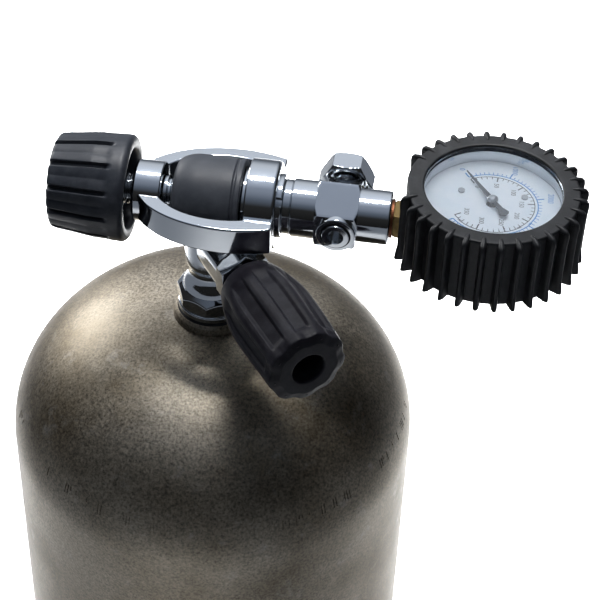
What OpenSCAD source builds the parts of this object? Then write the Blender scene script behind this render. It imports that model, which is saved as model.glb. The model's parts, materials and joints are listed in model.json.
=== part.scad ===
// Scuba tank with its valve and a yoke-mounted pressure checker.
// Millimetres, +Z up. The origin is the centre of the tank's flat base.
// +X runs along the yoke, from its clamping knob towards the gauge.

/* [Tank] */
// Outside diameter of the cylinder
tank_od = 184.2; // [180:0.1:190]
// Height of the straight wall, from the base to the start of the crown
straight_h = 582; // [400:1:640]
// Height of the domed crown above the straight wall
crown_h = 68.7; // [66:0.1:72]
// Fullness of the crown, where 2 is an ellipse
crown_fullness = 2.1; // [2:0.05:2.2]
// Thickness of the side wall
tank_wall = 12; // [8:0.5:14]
// Thickness of the base
base_t = 16; // [12:1:24]
// Radius of the outer edge of the base
base_round = 18; // [10:1:24]
// Diameter of the threaded neck bore
neck_bore_d = 26; // [25.6:0.1:26.4]

/* [Valve] */
// Height of the yoke axis above the neck's rim
axis_rise = 59.5; // [59:0.5:64]
// Height of the knob's axis below the yoke axis
arm_drop = 19.5; // [19:0.5:20]
// Direction of the valve knob, turned from straight ahead towards the gauge
arm_turn = 35; // [20:1:50]
// Length of the rubber valve knob
knob_len = 55; // [50:1:60]
// Largest radius of the rubber valve knob
knob_r = 18; // [17:0.5:19]
// Number of ridges around the valve knob
knob_ridges = 9; // [7:1:10]

/* [Yoke] */
// Thickness of the yoke's flat arms
yoke_t = 13; // [11:0.5:13]
// Half width of the yoke across its arms
yoke_half_w = 27.3; // [26.5:0.1:28.5]
// Half width of the window inside the yoke
window_half_w = 21; // [20:0.1:21.5]
// Number of flat lobes around the clamping knob
clamp_lobes = 12; // [10:1:14]

/* [Gauge] */
// Distance from the tank's axis to the gauge's axis
gauge_s = 116; // [114:0.5:122]
// Number of rib places around the rubber boot
boot_ribs = 32; // [24:1:36]

/* [Hidden] */

$fn = 64;
fit = 0.05;                 // radial gap of a running fit
gap = 0.3;                  // gap between faces that pass each other
over = 1;                   // how far a cutter runs past a face

// Heights
neck_lip = 3.3;             // neck rim above the top of the crown's curve
neck_top = straight_h + crown_h + neck_lip;
axis_z = neck_top + axis_rise;
arm_z = axis_z - arm_drop;

// Tank
tank_r = tank_od / 2;
neck_bore_r = neck_bore_d / 2;
neck_r = neck_bore_r + 4;
neck_chamfer = 1.2;
gland_w = 2.6;              // width of the neck O-ring's gland
gland_h = 2.2;              // depth of the neck O-ring's gland
crown_thick = 22;           // metal at the middle of the crown

// Valve body
seat_gap = 0.8;             // the O-ring holds the valve this far off the rim
flange_z = neck_top + seat_gap;
flange_r = 15.3;
flange_h = 3.2;
octagon_h = 8.5;
octagon_r = 16;             // across corners
plug_len = 24;
post_r = 12;
waist_r = 10.4;
barrel_r = 14.9;
barrel_from = -13.5;
barrel_to = 12.5;
arm_r = 11.2;
arm_half_w = 10.75;
arm_end = 26;
chamber_r = 6.2;
chamber_from = 3.6;
passage_r = 2.5;
outlet_r = 4;
outlet_oring_w = 2.2;
outlet_groove = 2.1;        // depth of the outlet O-ring's groove

// Knob assembly, distances along the knob's axis
nut_hex_to = 33;
nut_end = 35.5;
knob_from = 36;
knob_to = knob_from + knob_len;
hub_from = 44;
hub_to = 70;
hub_r = 8.5;
stem_r = 3.5;
stem_flange_from = 18.4;
stem_flange_to = 20.1;
stem_flange_r = 5.8;
nut_thread_from = 20.5;
blade_tip = 11.7;
blade_w = 7;
slot_floor = 7.6;
seat_pocket = 2.5;          // depth of the soft seat in the poppet
seat_r = 3.6;
spring_r = 5.4;
poppet_from = 4.6;
poppet_to = 14.2;

// Yoke, distances along the yoke axis
boss_from = -32.5;
window_from = -20.5;
window_to = 15.5;
hub_face = 28.5;
boss_r = 13;
yoke_hub_r = 18.7;
bolt_flange_r = 14.2;       // flange of the bolt that holds the yoke to the gauge block
pin_s = -49.5;              // cross pin of the clamping knob
pin_r = 1.5;
screw_r = 6.5;
screw_pitch = 1.75;
tip_r = 7.5;
tip_front = -13.7;
tip_back = -20.2;
tip_travel = 5.6;           // depth of the pocket that the tip backs into
clamp_rim = -34;
clamp_end = -66.8;
clamp_rim_r = 22.8;
clamp_end_r = 20.4;
clamp_bore_r = 16.8;
clamp_floor = -53;

// Gauge block
ring_face = 30.5;
block_neck = 34;
hex_from = 44.5;
hex_to = 62.2;
hex_af = 27;
block_end = 75.5;
bore_from = block_end - 11.3;
port_s = 54;
bleed_af = 20.5;
seal_t = 1;

// Gauge, heights from the yoke axis
case_r = 31;
case_wall_r = 27.4;         // inside radius below the dial
dial_wall_r = 28.2;         // inside radius above the dial
lens_r = 29.5;
boot_r = 35.3;
rib_base = 3.2;             // width of a boot rib at the boot's wall
rib_edge = 1.8;             // width of a boot rib at its outer edge
boot_floor = -10.2;
case_floor = -8;
case_inside = -6;
dial_z = 12;
gasket_z = 18;
lens_z = 18.4;
lens_top = 20.4;
bezel_top = 21.3;
boot_top = 22.3;
tube_r = 23;
tube_from = -75;
tube_sweep = 244;
plate_r = 17.2;
plate_z = -2.5;
plate_t = 1.2;
top_plate_z = 6.5;
gear_z = 1.5;
gear_t = 2;
gear_module = 0.5;
pinion_teeth = 10;
sector_teeth = 50;
centre_dist = gear_module * (pinion_teeth + sector_teeth) / 2;
sector_at = -60;            // direction of the sector's pivot from the needle
sector_swing = 54;          // travel of the sector for the needle's 270 degrees
tail_len = 4.5;
arbor_r = 1;
pivot_r = 0.8;
link_pin_r = 0.6;
link_z = gear_z + gear_t + gap;
link_t = 0.9;
pillar_x = 13;
pillar_y = 6;
needle_z = 14.5;
shank_screw_x = -24;        // screws that hold the shank's foot to the case
shank_screw_y = 3.6;
plate_screw_x = -14.5;      // screws that hold the movement to the shank's foot
plate_screw_y = 3;
zero_at = 124;              // direction of the dial's zero

// Finishes
chrome = "#d4d9de";
brass = "#a88c56";
rubber = "#24262b";
steel = "#b4b8bc";

// Points of an arc about [x, y]
function arc(x, y, r, from, to, steps) =
    [for (i = [0 : steps]) let (a = from + (to - from) * i / steps) [x + r * cos(a), y + r * sin(a)]];

// Points around an ellipse centred at [x, 0]
function ellipse(x, a, b, steps) =
    [for (i = [0 : steps - 1]) let (t = 360 * i / steps) [x + a * cos(t), b * sin(t)]];

// Points up a dome from radius a at height z0 to radius r_end
function dome(a, b, z0, r_end, steps) =
    let (t_end = acos(pow(r_end / a, crown_fullness / 2)), k = 2 / crown_fullness)
    [for (i = [0 : steps]) let (t = t_end * i / steps) [a * pow(cos(t), k), z0 + b * pow(sin(t), k)]];

// Outline of a gear's teeth between two tooth numbers, centred on angle 0
function teeth(count, first, last) =
    let (r = gear_module * count / 2, tip = r + 0.7 * gear_module, root = r - 1.1 * gear_module)
    let (p = 360 / count)
    [for (i = [first : last])
        each [for (k = [[-0.5, root], [-0.27, root], [-0.1, tip], [0.1, tip], [0.27, root], [0.5, root]])
            [k[1] * cos((i + k[0]) * p), k[1] * sin((i + k[0]) * p)]]];

function polar(r, a) = [r * cos(a), r * sin(a)];

function rotated(points, a) =
    [for (p = points) [p[0] * cos(a) - p[1] * sin(a), p[0] * sin(a) + p[1] * cos(a)]];

// Local Z runs along the yoke, starting s from the tank's axis
module on_yoke(s) translate([s, 0, axis_z]) rotate([0, 90, 0]) children();

// Local Z runs out along the valve knob's axis, starting d from the tank's axis
module on_arm(d) translate([0, 0, arm_z]) rotate([90, 0, arm_turn]) translate([0, 0, d]) children();

// Local Z runs along +Y through the gauge block's two ports
module on_port(y) translate([port_s, y, axis_z]) rotate([-90, 0, 0]) children();

// Local axes at the needle's axis, z above the yoke axis
module on_gauge(z) translate([gauge_s, 0, axis_z + z]) children();

module tube(outer, inner, h) difference() {
    cylinder(r = outer, h = h);
    translate([0, 0, -over]) cylinder(r = inner, h = h + 2 * over);
}

// Ring of round section
module o_ring(r, section) rotate_extrude() translate([r, 0]) circle(section / 2, $fn = 24);

// Straight V grooves that stand for a screw thread
module thread(r, depth, pitch, length) {
    turns = floor(length / pitch);
    rise = length / turns;
    rotate_extrude() polygon(concat(
        [[0, 0]],
        [for (i = [0 : turns - 1]) each [[r - depth, i * rise], [r, (i + 0.5) * rise]]],
        [[r - depth, length], [0, length]]));
}

// Hexagon with its corners turned off at both ends
module nut_shape(across_flats, h, chamfer) {
    corner = across_flats / 2 / cos(30);
    intersection() {
        cylinder(r = corner, h = h, $fn = 6);
        rotate_extrude() polygon([[0, 0], [corner - chamfer, 0], [corner + over, chamfer + over],
            [corner + over, h - chamfer - over], [corner - chamfer, h], [0, h]]);
    }
}

// ---------- tank ----------

module tank_shell() color("#8f8b83") difference() {
    inner_r = tank_r - tank_wall;
    inner_round = base_round - 6;
    rotate_extrude($fn = 128) polygon(concat(
        [[0, 0]],
        arc(tank_r - base_round, base_round, base_round, -90, 0, 8),
        dome(tank_r, crown_h, straight_h, neck_r, 24),
        [[neck_r, neck_top - neck_chamfer], [neck_r - neck_chamfer, neck_top], [0, neck_top]]));
    rotate_extrude($fn = 128) polygon(concat(
        [[0, base_t]],
        arc(inner_r - inner_round, base_t + inner_round, inner_round, -90, 0, 6),
        dome(inner_r, crown_h - crown_thick, straight_h, 0.001, 20),
        [[0, straight_h + crown_h - crown_thick]]));
    translate([0, 0, straight_h]) cylinder(r = neck_bore_r, h = neck_top);
    translate([0, 0, neck_top - gland_h]) cylinder(r = neck_bore_r + gland_w, h = gland_h + over);
}

module neck_oring() color("#1b1b1d") translate([0, 0, neck_top - gland_h]) rotate_extrude() {
    h = gland_h + seat_gap;
    round_r = gland_w / 2;
    mid = neck_bore_r + round_r;
    translate([mid, round_r]) circle(round_r - fit, $fn = 32);
    translate([mid, h - round_r]) circle(round_r - fit, $fn = 32);
}

// ---------- valve ----------

module valve_post() {
    bottom = flange_z + flange_h + octagon_h;
    waist_z = bottom + 6;
    steps = 8;
    rotate_extrude() polygon(concat(
        [[0, bottom - over], [13, bottom - over], [13, bottom]],
        [for (i = [1 : steps]) let (z = bottom + (waist_z - bottom) * i / steps)
            [waist_r + (13 - waist_r) * pow((waist_z - z) / (waist_z - bottom), 2), z]],
        [[waist_r, waist_z + 3], [post_r, waist_z + 9], [post_r, axis_z], [0, axis_z]]));
}

module valve_base() {
    corner_off = 1.6;
    translate([0, 0, flange_z - plug_len]) thread(neck_bore_r - fit, 1.1, 1.81, plug_len);
    translate([0, 0, flange_z]) rotate_extrude() polygon(concat(
        [[0, 0]],
        arc(flange_r - 1.2, 1.2, 1.2, -90, 0, 4),
        arc(flange_r - 1.2, flange_h - 1.2, 1.2, 0, 90, 4),
        [[0, flange_h]]));
    translate([0, 0, flange_z + flange_h - over]) intersection() {
        rotate([0, 0, 22.5]) cylinder(r = octagon_r, h = octagon_h + over, $fn = 8);
        rotate_extrude() polygon([
            [0, 0], [octagon_r - corner_off, 0], [octagon_r + over, corner_off + over],
            [octagon_r + over, octagon_h - 3], [13, octagon_h + over], [0, octagon_h + over]]);
    }
}

module valve_body() color(chrome) difference() {
    burst_boss_r = 9;
    union() {
        valve_base();
        valve_post();
        on_yoke(barrel_from) cylinder(r = barrel_r, h = barrel_to - barrel_from);
        intersection() {
            on_arm(0) cylinder(r = arm_r, h = arm_end);
            on_arm(0) translate([-arm_half_w, -arm_r, 0]) cube([2 * arm_half_w, 2 * arm_r, arm_end]);
        }
        on_arm(-14) cylinder(r = burst_boss_r, h = 14);
    }
    // Gas way up the middle, across the seat and out to the yoke
    translate([0, 0, flange_z - plug_len - over])
        cylinder(r = passage_r, h = plug_len + arm_z - flange_z + 4);
    on_arm(0) cylinder(r = 2, h = arm_end);
    on_arm(chamber_from) cylinder(r = chamber_r, h = arm_end);
    translate(concat(polar(5.4, arm_turn - 90), arm_z)) cylinder(r = 1.6, h = arm_drop);
    on_yoke(0) cylinder(r = outlet_r, h = barrel_to + over);
    // Socket for the dip tube
    translate([0, 0, flange_z - plug_len - over]) cylinder(r = 4, h = 8 + over);
    // Groove in the outlet face
    on_yoke(barrel_to - outlet_groove) tube(9.7, 6.9, outlet_groove + over);
    // Reliefs in the arm that let the yoke's bolt and hub pass
    on_yoke(barrel_to + fit) cylinder(r = bolt_flange_r + gap, h = 5);
    on_yoke(window_to - gap) cylinder(r = yoke_hub_r + gap, h = 15);
    // Dimple where the yoke screw bears
    on_yoke(barrel_from - 0.01) cylinder(r1 = 3, r2 = 0.5, h = 2);
    // Burst disc port
    on_arm(-8) cylinder(r = 1.5, h = 8);
    on_arm(-14 - over) cylinder(r = 6, h = 6 + over);
}

module dip_tube() color("#c9c4b4") translate([0, 0, flange_z - plug_len + 8 - 58]) difference() {
    cylinder(r = 4 - fit, h = 58);
    translate([0, 0, -over]) cylinder(r = 2.6, h = 60);
    for (z = [6, 12, 18]) translate([-5, 0, z]) rotate([0, 90, 0]) cylinder(r = 0.8, h = 10);
}

module outlet_oring() color("#1b1b1d")
    on_yoke(barrel_to - outlet_groove + outlet_oring_w / 2 + fit) o_ring(8.3, outlet_oring_w);

module outlet_sleeve() color(rubber) difference() {
    sleeve_r = 17.9;
    left = -15.5;
    right = 13.3;
    dome_len = 10;
    on_yoke(0) rotate_extrude() polygon(concat(
        [[9, left], [13.4, left]],
        [for (i = [1 : 8]) let (t = 90 * i / 8)
            [13.4 + (sleeve_r - 13.4) * sin(t), left + dome_len * (1 - cos(t))]],
        [[sleeve_r, 10], [17.1, 10.5], [17.1, 11], [sleeve_r, 11.5], [sleeve_r, 12.8], [17.4, right],
            [15, right], [15, barrel_from - fit], [9, barrel_from - fit]]));
    translate([0, 0, arm_z]) cylinder(r = post_r + gap, h = arm_drop);
    on_arm(-16) cylinder(r = arm_r + gap, h = 50);
}

module bonnet_nut() color(chrome) difference() {
    union() {
        on_arm(nut_thread_from) thread(chamber_r - fit, 0.6, 1.2, arm_end - nut_thread_from);
        on_arm(arm_end - over) cylinder(r = chamber_r - 0.6, h = 2 * over);
        on_arm(arm_end) rotate([0, 0, 30]) nut_shape(21, nut_hex_to - arm_end, 0.9);
        on_arm(nut_hex_to - over) cylinder(r = 8.2, h = nut_end - nut_hex_to + over);
    }
    on_arm(nut_thread_from - over) cylinder(r = stem_r + fit, h = 20);
    on_arm(30) cylinder(r = 5, h = 3);
}

module valve_stem() color(steel) {
    difference() {
        union() {
            on_arm(stem_flange_from) cylinder(r = stem_flange_r, h = stem_flange_to - stem_flange_from);
            on_arm(stem_flange_to) cylinder(r = stem_r, h = hub_from - stem_flange_to);
            on_arm(hub_from) translate([-2.4, -2.4, 0]) cube([4.8, 4.8, hub_to - hub_from]);
            on_arm(hub_to) thread(2.4, 0.3, 0.8, 6.4);
        }
        on_arm(31) tube(5, 2.9, 1.6);
    }
    // Blade that drives the poppet
    on_arm(blade_tip) translate([-1.2, -blade_w / 2, 0]) cube([2.4, blade_w, stem_flange_from - blade_tip]);
}

module stem_oring() color("#1b1b1d") on_arm(31.8) o_ring(3.72, 1.5);

module stem_washer() color("#ece8dc") on_arm(stem_flange_to) tube(stem_flange_r, stem_r + fit, 0.35);

module poppet() color(brass) difference() {
    on_arm(poppet_from) union() {
        cylinder(r = 5.2, h = 3);
        translate([0, 0, 3]) thread(chamber_r - fit, 0.5, 1.5, poppet_to - poppet_from - 3);
    }
    on_arm(slot_floor) translate([-1.2 - gap, -blade_w / 2 - gap, 0])
        cube([2.4 + 2 * gap, blade_w + 2 * gap, 12]);
    on_arm(poppet_from - over) cylinder(r = seat_r, h = seat_pocket + over);
}

module poppet_seat() color("#efeadd") {
    face = chamber_from + 0.15;
    on_arm(face) cylinder(r = seat_r - fit, h = poppet_from + seat_pocket - face);
}

// ---------- valve knob ----------

module valve_knob() color("#2a2830") difference() {
    start_r = 13;
    end_r = 16.4;
    swell = 0.46 * knob_len;
    panel_w = 7.2;
    panel_deep = 1.7;
    panel_from = knob_from + 9;
    panel_to = knob_to - 6;
    on_arm(knob_from) rotate_extrude() polygon(concat(
        [[4.4, 0], [start_r - 1.5, 0]],
        arc(start_r - 1.5, 1.5, 1.5, -60, 0, 3),
        [for (i = [1 : 8]) let (t = i / 8)
            [start_r + (knob_r - start_r) * sin(90 * t), 1.5 + (swell - 1.5) * t]],
        [for (i = [1 : 5]) let (t = i / 5)
            [knob_r - (knob_r - end_r) * t * t, swell + (knob_len - 2.5 - swell) * t]],
        arc(end_r - 2.5, knob_len - 2.5, 2.5, 20, 90, 4),
        [[8, knob_len], [7, knob_len - 1], [7, hub_to - knob_from], [4.4, hub_to - knob_from]]));
    on_arm(knob_from - over) cylinder(r = 7, h = hub_from - knob_from + over);
    on_arm(hub_from) cylinder(r = hub_r, h = hub_to - hub_from + 0.01);
    for (i = [0 : knob_ridges - 1]) on_arm(panel_from) rotate([0, 0, 360 * i / knob_ridges])
        translate([knob_r - panel_deep, -panel_w / 2, 0]) cube([5, panel_w, panel_to - panel_from]);
}

module knob_hub() color(brass) on_arm(hub_from) difference() {
    cylinder(r = hub_r, h = hub_to - hub_from);
    translate([-2.45, -2.45, -over]) cube([4.9, 4.9, hub_to - hub_from + 2 * over]);
}

// Wave spring, drawn as a short stack of rings joined at two sides
module knob_spring() color(steel) {
    coils = 4;
    pitch = 1.9;
    start = nut_end + 0.7;
    for (i = [0 : coils - 1]) on_arm(start + 0.4 + i * pitch) tube(spring_r, 4, 0.8);
    for (side = [-1, 1]) on_arm(start + 0.4) translate([side * 4.7 - 0.4, -0.6, 0])
        cube([0.8, 1.2, coils * pitch - 1.1]);
}

module knob_nut() color(steel) on_arm(hub_to) difference() {
    nut_shape(9, 4.5, 0.5);
    translate([0, 0, -over]) cylinder(r = 2.4 + fit, h = 7);
}

// ---------- burst disc ----------

module burst_gasket() color("#b5764a") on_arm(-8.8) tube(6 - fit, 2.5, 0.8);

module burst_disc() color("#c08a5a") on_arm(-9.1) cylinder(r = 6 - fit, h = 0.3);

module burst_plug() color(chrome) difference() {
    union() {
        on_arm(-14) thread(6 - fit, 0.5, 1, 4.9);
        on_arm(-20) nut_shape(14, 6, 0.7);
    }
    on_arm(-17.5) cylinder(r = 2.5, h = 9);
    for (a = [30, 120]) on_arm(-17) rotate([90, 0, a]) cylinder(r = 1, h = 20, center = true);
}

// ---------- yoke ----------

module yoke_frame() color(chrome) difference() {
    hub_edge = 2;
    outline_x = 8;
    outline_a = 41.5;
    window_x = 5;
    window_a = 30;
    union() {
        translate([0, 0, axis_z - yoke_t / 2]) linear_extrude(yoke_t) intersection() {
            polygon(ellipse(outline_x, outline_a, yoke_half_w, 72));
            translate([boss_from, -40]) square([hub_face - boss_from, 80]);
        }
        on_yoke(boss_from) cylinder(r = boss_r, h = window_from - boss_from);
        on_yoke(window_to) rotate_extrude() polygon(concat(
            [[0, 0], [yoke_hub_r - 1, 0], [yoke_hub_r, 1]],
            arc(yoke_hub_r - hub_edge, hub_face - window_to - hub_edge, hub_edge, 0, 90, 4),
            [[0, hub_face - window_to]]));
    }
    translate([0, 0, axis_z - yoke_t]) linear_extrude(2 * yoke_t) intersection() {
        polygon(ellipse(window_x, window_a, window_half_w, 64));
        translate([window_from, -40]) square([window_to - window_from, 80]);
    }
    on_yoke(boss_from - over) cylinder(r = screw_r + fit, h = 20);
    on_yoke(window_from - tip_travel) cylinder(r = tip_r + gap, h = 20);
    on_yoke(window_to - over) cylinder(r = 8 + fit, h = 20);
}

module yoke_retainer() color(chrome) on_yoke(0) rotate_extrude() polygon([
    [passage_r, 9.7], [3.6, 9.7], [3.6, 12.7], [12, 12.7], [12, 13.6], [bolt_flange_r, 13.6],
    [bolt_flange_r, window_to],
    [8, window_to], [8, ring_face], [6, ring_face], [6, 38], [passage_r, 38]]);

module retainer_ring() color(chrome) difference() {
    on_yoke(hub_face) tube(13.5, 8 + fit, ring_face - hub_face);
    for (a = [45 : 90 : 315]) on_yoke(hub_face - over) rotate([0, 0, a])
        translate([11.2, -1.6, 0]) cube([4, 3.2, 5]);
}

module yoke_screw() color(chrome) difference() {
    shoulder = tip_back - gap;
    union() {
        on_yoke(-62) cylinder(r = screw_r - 0.5, h = 16);
        on_yoke(-46) thread(screw_r, 0.7, screw_pitch, shoulder + 46);
        on_yoke(shoulder) cylinder(r = 2.5, h = 4);
    }
    translate([pin_s, 0, axis_z - 10]) cylinder(r = pin_r + fit, h = 20);
}

module yoke_knob() color(rubber) difference() {
    groove_w = 2.2;
    groove_deep = 1.9;
    groove_end = -41;
    union() {
        on_yoke(0) rotate_extrude() polygon(concat(
            [[0, clamp_end], [clamp_end_r - 3, clamp_end]],
            arc(clamp_end_r - 3, clamp_end + 3, 3, -75, 0, 5),
            [[clamp_rim_r, -46]],
            arc(clamp_rim_r - 2.4, clamp_rim - 2.4, 2.4, 0, 90, 5),
            arc(clamp_bore_r + 1.6, clamp_rim - 1.6, 1.6, 90, 180, 4),
            [[clamp_bore_r - 0.8, clamp_floor], [0, clamp_floor]]));
        on_yoke(clamp_floor - over) cylinder(r = 10, h = 7 + over);
    }
    on_yoke(-62) cylinder(r = screw_r - 0.5 + fit, h = 40);
    translate([pin_s, 0, axis_z - 11]) cylinder(r = pin_r + fit, h = 22);
    for (i = [0 : clamp_lobes - 1]) on_yoke(clamp_end - over) rotate([0, 0, 360 * (i + 0.5) / clamp_lobes])
        translate([clamp_rim_r - groove_deep, -groove_w / 2, 0])
            cube([6, groove_w, groove_end - clamp_end + over]);
}

module knob_pin() color(steel) translate([pin_s, 0, axis_z - 9.8]) cylinder(r = pin_r, h = 19.6);

module screw_tip() color(chrome) difference() {
    on_yoke(0) rotate_extrude() polygon([
        [0, tip_back], [tip_r, tip_back], [tip_r, -18.4], [6.4, -18], [6.4, -17.2], [tip_r, -16.8],
        [tip_r, -14.7], [6.5, tip_front], [0, tip_front]]);
    on_yoke(tip_back - over) cylinder(r = 2.5 + fit, h = 3.9 + over);
}

// ---------- gauge block ----------

module gauge_block() color(chrome) difference() {
    boss_face = 15.5;
    end_len = block_end - hex_to;
    union() {
        on_yoke(ring_face) cylinder(r = 11.5, h = block_neck - ring_face);
        on_yoke(block_neck) rotate_extrude()
            polygon([[0, 0], [11.6, 0], [12.2, 0.6], [12.2, hex_from - block_neck], [0, hex_from - block_neck]]);
        on_yoke(hex_from) nut_shape(hex_af, hex_to - hex_from, 1.2);
        on_yoke(hex_to) rotate_extrude() polygon([[0, 0], [11.3, 0], [11.3, end_len - 0.8],
            [10.5, end_len], [0, end_len]]);
        on_port(-boss_face) cylinder(r = 8.25, h = 8);
        on_port(7.5) cylinder(r = 7.2, h = boss_face - 7.5);
    }
    on_yoke(ring_face - over) cylinder(r = 6 + fit, h = 9.5);
    on_yoke(38) cylinder(r = passage_r, h = bore_from - 38 + over);
    on_yoke(bore_from) cylinder(r = 6.5 + fit, h = 20);
    on_port(-boss_face - over) cylinder(r = 5 + fit, h = boss_face - 6 + over);
    on_port(-boss_face - over) cylinder(r = 6.4, h = 1.5 + over);
    on_port(-7) cylinder(r = 2, h = 7);
    on_port(5) cylinder(r = 5 + fit, h = 20);
    on_port(0) cylinder(r = 1.2, h = 6);
    on_yoke(ring_face - over) tube(8.6, 6, 1.4 + over);
}

module block_oring() color("#1b1b1d") on_yoke(ring_face + 0.7) o_ring(7.3, 1.3);

module port_plug() color(chrome) difference() {
    union() {
        on_port(-16.5) rotate_extrude() polygon([[0, 0], [5.2, 0], [5.7, 0.5], [5.7, 1], [0, 1]]);
        on_port(-15.5) cylinder(r = 5, h = 1.5);
        on_port(-14) thread(5, 0.6, 1, 7);
    }
    on_port(-17) cylinder(r = 3.1 / cos(30), h = 5, $fn = 6);
}

module port_oring() color("#1b1b1d") on_port(-14.75) o_ring(5.72, 1.3);

module bleed_screw() color(chrome) difference() {
    head = 17;
    union() {
        difference() {
            on_port(head) nut_shape(bleed_af, 11, 1.4);
            on_port(head - 0.01) cylinder(r1 = 8.4, r2 = 5, h = 2.6);
        }
        on_port(14) cylinder(r = 5, h = head - 14 + 3);
        on_port(9) thread(5, 0.5, 1, 3);
        on_port(12) cylinder(r = 4, h = 2);
        on_port(5.9) cylinder(r = 3.9, h = 3.1);
    }
    on_port(5) cylinder(r = 2.6, h = 2.6);
}

module bleed_oring() color("#1b1b1d") on_port(13) o_ring(4.5, 0.98);

module bleed_seat() color("#efeadd") on_port(5.15) union() {
    cylinder(r1 = 1.6, r2 = 2.5, h = 0.8);
    translate([0, 0, 0.8]) cylinder(r = 2.5, h = 1.4);
}

// ---------- gauge ----------

module gauge_socket() color(brass) difference() {
    square_w = 11;
    square_from = block_end + seal_t;
    thread_from = bore_from + gap;
    foot_from = gauge_s - 29.5;
    foot_to = gauge_s - 19;
    union() {
        on_yoke(thread_from) thread(6.5, 0.8, 1.4, square_from - thread_from);
        translate([square_from, -square_w / 2, axis_z - square_w / 2])
            cube([foot_from - square_from + over, square_w, square_w]);
        translate([foot_from, -6, axis_z + case_inside]) cube([foot_to - foot_from, 12, 12]);
        translate([foot_to - over, -5, axis_z + case_inside]) cube([8, 10, plate_z - case_inside]);
    }
    on_yoke(thread_from - over) cylinder(r = 1.5, h = foot_from + 5 + over - thread_from);
    // Pocket for the end of the curved tube
    on_gauge(1) rotate([0, 0, tube_from]) rotate_extrude(angle = tube_sweep + 0.5) translate([tube_r, 0])
        square([3.1, 10.1], center = true);
    for (side = [-1, 1]) {
        on_gauge(case_inside - over) translate([shank_screw_x, side * shank_screw_y, 0])
            cylinder(r = 1.2 + fit, h = over + 1.8);
        on_gauge(case_inside - over) translate([plate_screw_x, side * plate_screw_y, 0])
            cylinder(r = 0.8 + fit, h = 8);
    }
}

module shank_seal() color("#b5764a") on_yoke(block_end) tube(8.2, 6.5 + fit, seal_t);

module bourdon_tube() color("#b08a4e") on_gauge(1) rotate([0, 0, tube_from])
    rotate_extrude(angle = tube_sweep) translate([tube_r, 0]) difference() {
        square([3, 10], center = true);
        square([1.4, 8.4], center = true);
    }

module tube_tip() color(brass) on_gauge(0) {
    rotate([0, 0, tube_from - 5]) rotate_extrude(angle = 5) translate([tube_r - 1.5, -4]) square([3, 10]);
    rotate([0, 0, tube_from - 22]) rotate_extrude(angle = 17.2) translate([tube_r - 2.4, 0.5])
        square([2.6, gear_z + gear_t - 0.5]);
}

sector_pivot = polar(centre_dist, sector_at);
tail_at = sector_at - sector_swing / 2;
tail_end = sector_pivot + polar(tail_len, tail_at);
link_end = polar(22, -95);

module link() color(brass) on_gauge(link_z) linear_extrude(link_t) difference() {
    run = link_end - tail_end;
    union() {
        translate(tail_end) circle(1.2);
        translate(link_end) circle(1.2);
        translate(tail_end) rotate(atan2(run[1], run[0])) translate([0, -0.7]) square([norm(run), 1.4]);
    }
    translate(tail_end) circle(link_pin_r + fit);
    translate(link_end) circle(0.5);
}

module plate(thickness) difference() {
    cylinder(r = plate_r, h = thickness);
    translate([0, 0, -over]) cylinder(r = arbor_r + fit, h = thickness + 2 * over);
    translate(concat(sector_pivot, -over)) cylinder(r = pivot_r + fit, h = thickness + 2 * over);
}

module movement_base() color(brass) difference() {
    union() {
        on_gauge(plate_z) plate(plate_t);
        for (side = [-1, 1]) on_gauge(plate_z + plate_t) translate([side * pillar_x, pillar_y, 0])
            cylinder(r = 1.6, h = top_plate_z - plate_z - plate_t);
    }
    for (side = [-1, 1]) on_gauge(plate_z - over) translate([plate_screw_x, side * plate_screw_y, 0])
        cylinder(r = 0.8 + fit, h = plate_t + 2 * over);
}

module movement_top() color(brass) difference() {
    union() {
        on_gauge(top_plate_z) plate(1);
        for (side = [-1, 1]) on_gauge(top_plate_z + 1) translate([side * pillar_x, pillar_y, 0])
            cylinder(r = 1.6, h = dial_z - top_plate_z - 1);
        on_gauge(4.8) translate([6.9, 0, 0]) cylinder(r = 0.6, h = top_plate_z - 4.8);
    }
    for (side = [-1, 1]) on_gauge(dial_z - 3) translate([side * pillar_x, pillar_y, 0])
        cylinder(r = 0.7 + fit, h = 5);
}

module movement_screws() color(steel) for (side = [-1, 1])
    translate([plate_screw_x, side * plate_screw_y, 0]) {
        on_gauge(case_inside + 0.5) cylinder(r = 0.8, h = plate_z + plate_t - case_inside - 0.5);
        on_gauge(plate_z + plate_t) cylinder(r = 1.5, h = 0.8);
    }

module sector_gear() color(brass) {
    half = 5;
    // Turns the teeth so that one of them stands on the line of centres at rest
    tooth_shift = sector_swing / 2 - 4 * 360 / sector_teeth;
    on_gauge(gear_z) translate(sector_pivot) rotate(tail_at + 180) linear_extrude(gear_t) {
        difference() {
            polygon(concat([[0, 0]], rotated(teeth(sector_teeth, -half, half), tooth_shift)));
            difference() {
                circle(9.4);
                circle(3);
                translate([0, -1.3]) square([12, 2.6]);
            }
        }
        circle(2.2);
        translate([-tail_len, -1.2]) square([tail_len, 2.4]);
        translate([-tail_len, 0]) circle(1.2);
    }
    on_gauge(plate_z + 0.1) translate(sector_pivot) cylinder(r = pivot_r, h = top_plate_z + 0.9 - plate_z);
    on_gauge(gear_z + gear_t - 0.1) translate(tail_end) cylinder(r = link_pin_r, h = link_t + 0.6);
}

module pinion() color(steel) {
    on_gauge(gear_z - 0.3) rotate(sector_at + 180 / pinion_teeth) linear_extrude(gear_t + 0.6)
        polygon(teeth(pinion_teeth, 0, pinion_teeth - 1));
    on_gauge(plate_z + 0.1) cylinder(r = arbor_r, h = needle_z + 0.9 - plate_z);
}

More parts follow.
